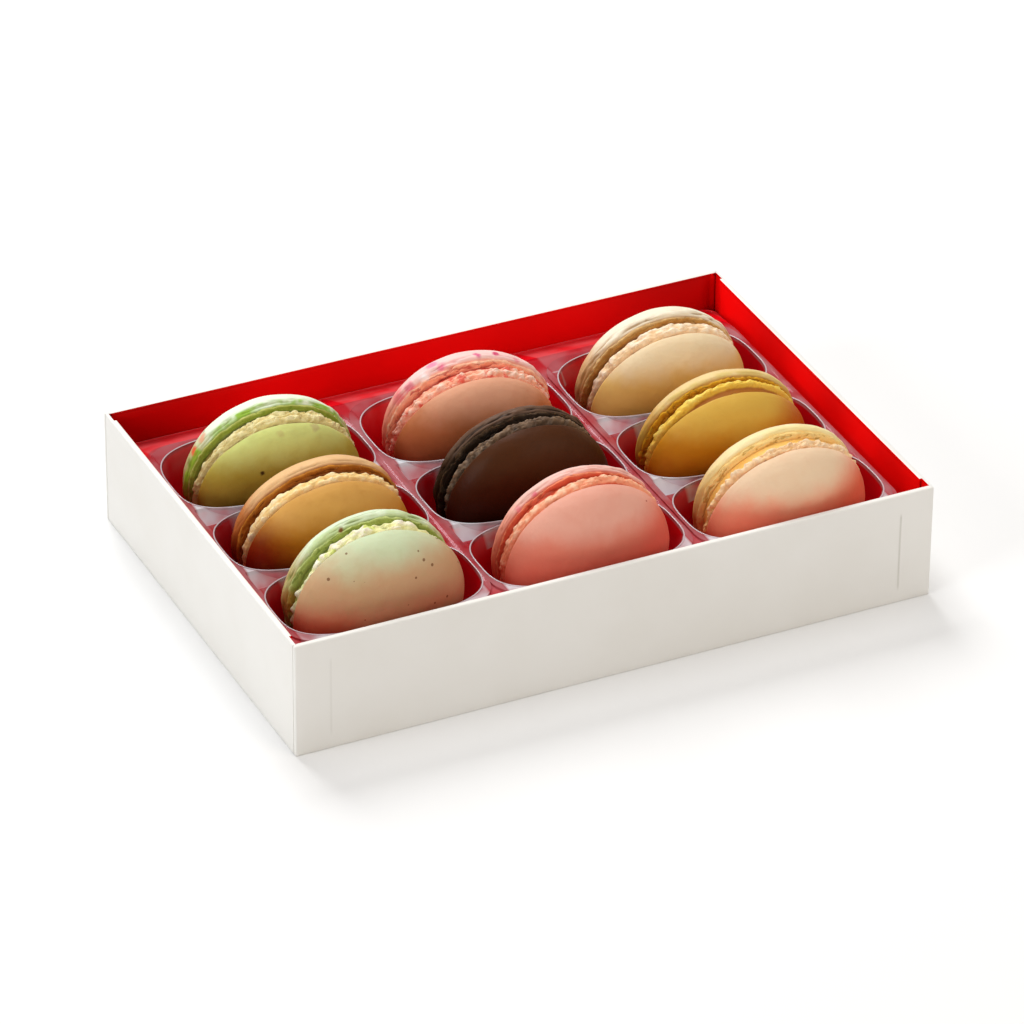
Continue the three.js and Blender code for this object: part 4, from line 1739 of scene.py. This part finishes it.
FLAVOURS: tuple[Flavour, ...] = (
    Flavour(
        name="pistachio", at=(-58.1, 25.6, 26.2), yaw=-3.9, lean=-11.6, back=23.4, front=22.9, thick=26.6,
        seed=11, groove=0.9, crease=2.2,
        ledges=ledges(
            (200, 0.3, 0.8, 0.975), (160, 0.6, 1, 0.98), (120, 0.3, 1.6, 0.985), (90, 0.1, 1.9, 0.99),
            (60, 0.1, 1.8, 0.99), (30, 0.3, 1.3, 0.985), (0, 0.3, 1.2, 0.975),
        ),
        back_foot=1.22, front_foot=0.55, back_relief=Relief(pleat=0.6, lump=0.24, fold=0.4),
        front_relief=Relief(pleat=0.7, pleat_along=3.0, lump=0.16),
        cream_relief=Relief(pleat=0.6, pleat_along=3.5, lump=0.54, crack=0.8),
        back_finish=BiscuitFinish(
            dome="ECF4DE", low="B8B070", deep="7A5A1C", deep_shade_share=0.5, foot="C4C470", fold="7E8E2A",
            crack="7A8C2C", streak="92BC34",
            stains_and_painted_light=(
                StainOrPaintedLight((-78.1, 28.6, 36.2), 1.7, "E0562A", 0.9),
                StainOrPaintedLight((-76.0, 28.2, 39.7), 1.9, "E09A78", 0.8),
                StainOrPaintedLight((-75.3, 29.8, 40.9), 0.8, "8A6A3A", 0.7),
                StainOrPaintedLight((-78.9, 28.9, 33.0), 1.6, "5E7A1E", 0.8),
            ),
        ),
        front_finish=BiscuitFinish(
            dome="C8CE7C", low="A48C28", deep="642A00", foot="D8C890", fold="8A6E38",
            stains_and_painted_light=(
                StainOrPaintedLight((-66.2, 12.0, 35.5), 1.0, "3A2412", 0.95),
                StainOrPaintedLight((-50.3, 14.4, 44.6), 1.7, "B09A70", 0.6),
                StainOrPaintedLight((-60.6, 13.6, 45.2), 1.2, "B4A468", 0.5),
            ),
        ),
        cream_finish=CreamFinish(light="F0E4AC", mid="DCC884", deep="8A7230"),
    ),
    Flavour(
        name="caramel", at=(-58.6, -7.6, 26.1), yaw=-2.1, lean=-12.1, back=23.1, front=22.9, thick=26.4,
        seed=23, groove=0.87, crease=0.9,
        ledges=ledges(
            (200, 0.8, 0.9, 0.97), (160, 0.7, 1.2, 0.99), (120, 0.6, 1.5, 1.0), (90, 0.6, 1.5, 1.0),
            (50, 0.4, 1.3, 0.99), (20, 0.3, 1.1, 0.98),
        ),
        back_foot=1.37, front_foot=0.45,
        back_relief=Relief(pleat=0.6, pleat_along=9.0, pleat_across=0.5, lump=0.08, crack=0.56, fold=0.3),
        front_relief=Relief(pleat=0.4, lump=0.16),
        cream_relief=Relief(pleat=0.3, pleat_along=4.0, lump=0.86, lump_along=2.4, lump_across=1.8),
        back_finish=BiscuitFinish(
            dome="E4B884", low="AE5E1C", deep="6A1C00", foot="D08A34", fold="8A460C", crack="542404"
        ),
        front_finish=BiscuitFinish(
            dome="CE9A50", low="BC7810", deep="821200", deep_shade_share=0.9, low_shade_from=42, low_shade_to=33,
            # the broad dark red blotch on the left side is painted shade with red bounce from the lining
            foot="F0C680", fold="9A5A18", stains_and_painted_light=(StainOrPaintedLight((-84.5, -16.5, 27.0), 17.0, "701000", 0.95),),
        ),
        cream_finish=CreamFinish(light="FFEEC0", mid="F6CE84", deep="7A3A08"),
    ),
    Flavour(
        name="mint", at=(-58.6, -39.8, 26.6), yaw=-2.0, lean=-5.0, back=23, front=23.5, thick=27.4,
        seed=37, groove=0.88,
        ledges=ledges(
            (200, 0.7, 1, 0.97), (160, 1, 0.9, 0.975), (130, 0.7, 1.3, 0.985), (100, 0.3, 1.7, 0.995),
            (70, 0.2, 1.8, 0.995), (40, 0.3, 1.5, 0.985), (10, 0.3, 1.2, 0.98),
        ),
        back_foot=1.22, front_foot=0.5, back_relief=Relief(pleat=0.7, lump=0.32, fold=0.5, swell=0.6),
        front_relief=Relief(pleat=0.8, pleat_along=4.0, lump=0.16),
        cream_relief=Relief(pleat=0.7, pleat_along=4.0, lump=1.30, lump_along=3.2, lump_across=2.2),
        back_finish=BiscuitFinish(
            dome="DDEACB", low="C0A868", deep="8A5A1A", deep_shade_share=0.6, foot="C9D48C", fold="8C9A44",
            crack="6A7A30", streak="BCD08A", streak_share=0.6,
            stains_and_painted_light=(
                StainOrPaintedLight((-66.5, -37.6, 46.8), 1.1, "7A4A1E", 0.95),
                StainOrPaintedLight((-79.0, -36.7, 28.0), 5.0, "A87024", 0.7),
            ),
        ),
        front_finish=BiscuitFinish(
            dome="CBD8B2", low="C4946C", deep="A83A22", low_shade_from=49, low_shade_to=37.5, deep_shade_share=0.62,
            foot="E2DFB4", fold="A89A5A", speck="6A3A1C", specks=0.8,
            # the broad red blotch at the bottom left is painted red bounce from the lining
            stains_and_painted_light=(StainOrPaintedLight((-75.0, -49.5, 18.0), 16.0, "B4341E", 0.9),),
        ),
        cream_finish=CreamFinish(light="FAF2DC", mid="ECE9A8", deep="6A7424", bits="DDE870"),
    ),
    Flavour(
        name="strawberry", at=(-1.6, 24.6, 26.1), yaw=-6.9, lean=-12.6, back=23.4, front=22.8, thick=26.8,
        seed=41, groove=0.9, crease=1.5,
        ledges=ledges(
            (200, 0.2, 1.4, 0.97), (160, 0.3, 1.5, 0.98), (120, 0.3, 1.5, 0.985), (90, 0.4, 1.4, 0.985),
            (50, 0, 1.7, 0.98), (20, 0, 1.4, 0.975),
        ),
        back_foot=1.44, front_foot=0.5,
        back_relief=Relief(pleat=0.8, pleat_along=6.0, lump=0.32, crack=0.64, fold=0.35),
        front_relief=Relief(pleat=0.5, lump=0.16),
        cream_relief=Relief(
            pleat=0.5, pleat_along=3.0, lump=0.86, lump_along=2.2, lump_across=1.6, crack=0.64
        ),
        back_finish=BiscuitFinish(
            dome="F4CCC6", low="F09C80", deep="E86A50", deep_shade_share=0.6, foot="FFD2B2", fold="F29878",
            crack="C04038",
            stains_and_painted_light=(
                StainOrPaintedLight((5.0, 23.3, 47.4), 1.3, "CC2E66", 0.95),
                StainOrPaintedLight((-0.2, 23.2, 48.4), 1.2, "D44A80", 0.9),
                StainOrPaintedLight((-9.8, 24.3, 46.5), 1.7, "DC5A86", 0.85),
                StainOrPaintedLight((-11.5, 27.0, 46.4), 2.2, "E478A0", 0.8),
                # the white blotch near the top is a painted highlight
                StainOrPaintedLight((-14.2, 25.3, 44.1), 1.8, "FFFFFF", 0.7),
                StainOrPaintedLight((-18.0, 26.6, 41.5), 2.0, "D84A70", 0.7),
                StainOrPaintedLight((-20.0, 28.0, 38.0), 3.0, "E86A74", 0.8),
                StainOrPaintedLight((11.0, 22.0, 45.4), 1.4, "E06A84", 0.7),
            ),
        ),
        front_finish=BiscuitFinish(
            dome="DCA182", low="B46434", deep="761400", foot="F0A488", fold="D06A50"
        ),
        cream_finish=CreamFinish(light="FFD8C4", mid="FAB090", deep="C83A28", bits="EC5440"),
    ),
    Flavour(
        name="chocolate", at=(-2.5, -9.3, 26.8), yaw=-0.9, lean=-7.5, back=23, front=23.4, thick=25.6,
        seed=53, groove=0.86,
        ledges=ledges(
            (200, 1, 0.8, 0.95), (170, 0.9, 1, 0.97), (140, 0.7, 1.1, 0.98), (110, 0.4, 1.1, 0.98),
            (90, -0.2, 1, 0.98), (75, -1, 0.8, 0.98), (50, -1.3, 0.7, 0.975), (20, -1.2, 0.8, 0.975),
        ),
        back_foot=1.44, front_foot=0.4,
        back_relief=Relief(pleat=1.0, pleat_along=6.0, pleat_across=0.6, lump=0.16, crack=1.28, fold=0.6),
        front_relief=Relief(pleat=0.4, lump=0.16),
        cream_relief=Relief(pleat=0.7, pleat_along=3.0, lump=0.65, crack=0.8),
        back_finish=BiscuitFinish(
            dome="6A5040", low="30200F", foot="54402E", fold="1A100A", crack="0A0604", roughness=0.45
        ),
        front_finish=BiscuitFinish(
            dome="48260F", low="3A1204", deep="200200", foot="6A5442", fold="1E120C", roughness=0.45
        ),
        cream_finish=CreamFinish(light="8A6E54", mid="644C38", deep="030101"),
    ),
    Flavour(
        name="raspberry", at=(-1.2, -41.9, 26.5), yaw=-1.3, lean=-6.5, back=23, front=23.3, thick=25.8,
        seed=67, groove=0.9, crease=-0.3,
        ledges=ledges(
            (200, 0.4, 1.2, 0.975), (170, 0.5, 1.3, 0.98), (140, 0.6, 1.3, 0.98), (118, 0.7, 1, 0.975),
            (110, 0.4, 1.4, 0.985), (95, 0.2, 1.5, 0.985), (80, -0.4, 1.1, 0.985), (60, -0.6, 0.9, 0.98),
            (45, -0.1, 1.4, 0.985), (20, 0.1, 1.4, 0.98),
        ),
        back_foot=1.3, front_foot=0.5,
        back_relief=Relief(pleat=0.7, pleat_along=7.0, lump=0.24, crack=0.56, fold=0.35),
        front_relief=Relief(pleat=0.5, lump=0.16),
        cream_relief=Relief(pleat=0.6, pleat_along=4.0, lump=0.54),
        back_finish=BiscuitFinish(
            dome="F2C4B8", low="EA9074", deep="D86A40", deep_shade_share=0.6, foot="F49C74", fold="CC5038",
            crack="A83C24",
            stains_and_painted_light=(
                StainOrPaintedLight((-13.7, -39.5, 44.9), 1.0, "E0607A", 0.75),
                StainOrPaintedLight((-17.9, -39.0, 41.2), 1.2, "E8788A", 0.6),
            ),
        ),
        front_finish=BiscuitFinish(
            dome="E2A490", low="DE8068", deep="CC3A28", low_shade_from=42, deep_shade_share=0.6, foot="F2AC90",
            fold="D06A50", specks=0.04, speck="9A3A2A",
            # the broad blotch on the right side is painted light with red bounce from the lining
            stains_and_painted_light=(StainOrPaintedLight((24.0, -52.1, 30.0), 18.0, "E06C58", 0.8),),
        ),
        cream_finish=CreamFinish(light="FBC8A4", mid="F4A078", deep="D0502E"),
    ),
    Flavour(
        name="vanilla", at=(53.9, 23.9, 26.1), yaw=-1.8, lean=-12.6, back=23, front=22.7, thick=27.6,
        seed=71, groove=0.88, crease=1.6,
        ledges=ledges(
            (200, 0.7, 1.1, 0.975), (170, 0.7, 1.3, 0.985), (140, 0.6, 1.5, 0.99), (110, 0.4, 1.7, 0.995),
            (80, 0.3, 1.8, 0.995), (50, 0.2, 1.7, 0.99), (20, 0.1, 1.4, 0.98),
        ),
        back_foot=1.37, front_foot=0.5,
        back_relief=Relief(pleat=0.7, pleat_along=6.0, lump=0.24, crack=0.56, fold=0.5, swell=0.6),
        front_relief=Relief(pleat=0.5, lump=0.16),
        cream_relief=Relief(pleat=0.4, pleat_along=4.0, lump=0.76, lump_along=2.6, lump_across=2.0),
        back_finish=BiscuitFinish(
            dome="F2E8D0", low="D8AE72", deep="A4703A", deep_shade_share=0.5, foot="E6C48A", fold="B07830",
            crack="A4763C", specks=0.08, speck="9A7A4A",
        ),
        front_finish=BiscuitFinish(
            dome="E8D2AC", low="DCB05C", deep="BC7C20", low_shade_from=42, deep_shade_share=0.45, foot="EED0A0",
            fold="C08A50", specks=0.03, speck="8A5A2A",
        ),
        cream_finish=CreamFinish(light="FFEED4", mid="F6D2A4", deep="A06628"),
    ),
    Flavour(
        name="lemon", at=(54.5, -11.3, 26.2), yaw=-3.6, lean=-13.6, back=22.7, front=22.8, thick=25.0,
        seed=83, groove=0.87,
        ledges=ledges(
            (200, 0.9, 0.8, 0.97), (170, 0.9, 0.9, 0.98), (145, 0.6, 1, 0.985), (125, 0, 1, 0.985),
            (112, -0.8, 0.9, 0.98), (90, -1.4, 0.8, 0.975), (50, -1.5, 0.7, 0.97), (20, -1.3, 0.8, 0.97),
        ),
        back_foot=1.3, front_foot=0.4,
        back_relief=Relief(pleat=0.7, pleat_along=4.0, lump=0.4, crack=0.48, fold=0.2),
        front_relief=Relief(pleat=0.4, lump=0.24),
        cream_relief=Relief(pleat=0.5, pleat_along=4.0, lump=0.54),
        back_finish=BiscuitFinish(
            dome="E6CA90", low="CE9C44", deep="9A5E10", deep_shade_share=0.6, foot="E4AC2A", fold="B07414",
            crack="80500A", streak="C8B040", streak_share=0.4,
        ),
        front_finish=BiscuitFinish(
            dome="D0A648", low="C07A0A", deep="9A3800", low_shade_from=42, foot="E0BE6A", fold="A86C1C",
            # the broad orange blotch on the right side is painted red bounce from the right lining
            stains_and_painted_light=(StainOrPaintedLight((78.0, -21.0, 33.0), 18.0, "B45000", 0.85),),
        ),
        cream_finish=CreamFinish(light="F8DE6A", mid="F6CC48", deep="B06A10"),
    ),
    Flavour(
        name="apricot", at=(55.1, -43.3, 26.2), yaw=-1.7, lean=-11.8, back=22.8, front=22.7, thick=26.3,
        seed=97, groove=0.9,
        ledges=ledges(
            (200, 1.2, 0.8, 0.97), (160, 1.3, 0.9, 0.98), (130, 1.3, 1, 0.985), (100, 1.2, 1.1, 0.99),
            (70, 1.1, 1.2, 0.99), (40, 0.9, 1.2, 0.985), (10, 0.8, 1.1, 0.98),
        ),
        back_foot=1.51, front_foot=0.5,
        back_relief=Relief(pleat=0.7, pleat_along=5.0, pleat_across=0.5, lump=0.24, crack=0.48, fold=0.2),
        front_relief=Relief(pleat=0.7, pleat_along=2.5, lump=0.32),
        cream_relief=Relief(pleat=1.0, pleat_along=2.2, pleat_across=1.6, lump=0.65, crack=0.48),
        back_finish=BiscuitFinish(
            dome="F2E0AC", low="E0B468", deep="C47A28", deep_shade_share=0.6, foot="F6D68C", fold="F2CC84",
            crack="B88A38", streak="EED890", streak_share=0.5,
        ),
        front_finish=BiscuitFinish(
            dome="E8CAA8", low="EE9674", deep="DC4C34", low_shade_from=41, low_shade_to=32, deep_shade_share=0.6,
            # the broad red blotch on the right side is painted red bounce from the right lining
            foot="F2CCA8", fold="D89A6A", stains_and_painted_light=(StainOrPaintedLight((78.0, -54.6, 30.0), 18.0, "E06C4C", 0.85),),
        ),
        cream_finish=CreamFinish(light="F6DCB8", mid="EFC898", deep="F6C060"),
    ),
)


# The studio


@dataclass
class Studio:
    """The plain floor, the soft lights and the camera."""

    elevation: float = 32.04
    azimuth: float = -25.72
    roll: float = 0.54
    distance: float = 1.6776
    slide: tuple[float, float] = (-0.00063, 0.01141)
    focal_pixels: float = 6392.0
    frame_pixels: float = 1024.0
    sensor_mm: float = 36.0

    def camera(self) -> None:
        """Stand the camera where the photograph was taken from."""
        az, el, roll = (math.radians(v) for v in (self.azimuth, self.elevation, self.roll))
        back = Vector((math.sin(az) * math.cos(el), -math.cos(az) * math.cos(el), math.sin(el)))
        right = Vector((math.cos(az), math.sin(az), 0))
        up = back.cross(right)
        right, up = (
            math.cos(roll) * right + math.sin(roll) * up, -math.sin(roll) * right + math.cos(roll) * up
        )
        place = back * self.distance + right * self.slide[0] + up * self.slide[1]
        data = bpy.data.cameras.new("camera")
        data.sensor_width = self.sensor_mm
        data.lens = self.focal_pixels * self.sensor_mm / self.frame_pixels
        made = bpy.data.objects.new("camera", data)
        made.matrix_world = Matrix(
            (
                (right.x, up.x, back.x, place.x), (right.y, up.y, back.y, place.y),
                (right.z, up.z, back.z, place.z), (0, 0, 0, 1),
            )
        )
        bpy.context.scene.collection.objects.link(made)
        bpy.context.scene.camera = made

    def light(self, name: str, place: tuple, size: float, watts: float, colour: str) -> None:
        """A square softbox that looks at the middle of the box.

        Args:
            name: the light's name.
            place: where it hangs, in metres.
            size: its side in metres.
            watts: its power.
            colour: its colour in hex.
        """
        data = bpy.data.lights.new(name, "AREA")
        data.size = size
        data.energy = watts
        data.color = linear(colour)[:3]
        made = bpy.data.objects.new(name, data)
        made.location = place
        look = Vector((0, 0, 0.015)) - Vector(place)
        made.rotation_euler = look.to_track_quat("-Z", "Y").to_euler()
        bpy.context.scene.collection.objects.link(made)

    def build(self) -> None:
        """Make the floor, the room's own light and the softboxes."""
        scene = bpy.context.scene
        scene.view_settings.view_transform = "Standard"
        scene.cycles.transparent_max_bounces = 32
        world = bpy.data.worlds.new("studio")
        world.use_nodes = True
        world.node_tree.nodes["Background"].inputs[0].default_value = linear("FFFFFF")
        world.node_tree.nodes["Background"].inputs[1].default_value = 0.36
        scene.world = world
        self.light("key_softbox", (0.0, 0.95, 1.15), 0.7, 13.5, "FFFFFF")
        self.light("left_softbox", (-1.5, -0.25, 0.75), 0.9, 10.8, "FFFFFF")
        self.light("top_softbox", (0.1, 0.0, 1.5), 1.0, 5.4, "FFFFFF")
        self.light("front_softbox", (0.7, -1.2, 0.9), 0.9, 6.0, "FFEEDA")
        plane = bpy.data.meshes.new("studio_floor")
        plane.from_pydata([(-6, -6, 0), (6, -6, 0), (6, 6, 0), (-6, 6, 0)], [], [(0, 1, 2, 3)])
        floor = bpy.data.objects.new("studio_floor", plane)
        scene.collection.objects.link(floor)
        material, tree = new_material("studio_floor_white_paint")
        principled(tree, {"Base Color": linear("EEEEEE"), "Roughness": 0.9, "Specular IOR Level": 0.0})
        plane.materials.append(material)


def main() -> None:
    """Build the studio, the box, the tray and the macarons, in that order."""
    studio = Studio()
    studio.camera()
    studio.build()
    LOG.info("studio and camera ready")
    white, red = BoardFinish().build(), LiningFinish().build()
    box = PaperboardBox()
    hand_over(box.build(white, red), "white_paperboard_box")
    lining = RedLining(box)
    for piece in lining.build(red):
        hand_over(piece, "red_" + piece.name)
    tray = ClearTray(box)
    hand_over(tray.build(FilmFinish().build()), "clear_tray")
    tree = ReliefTree()
    for flavour in FLAVOURS:
        macaron = Macaron(flavour)
        for side in Side:
            shell = macaron.shell(side, tree)
            node = f"{flavour.name}_macaron_{side.name.lower()}_shell"
            hand_over(shell, node)
        node = f"{flavour.name}_macaron_filling"
        hand_over(macaron.filling(tree), node)


if __name__ == "__main__":
    main()
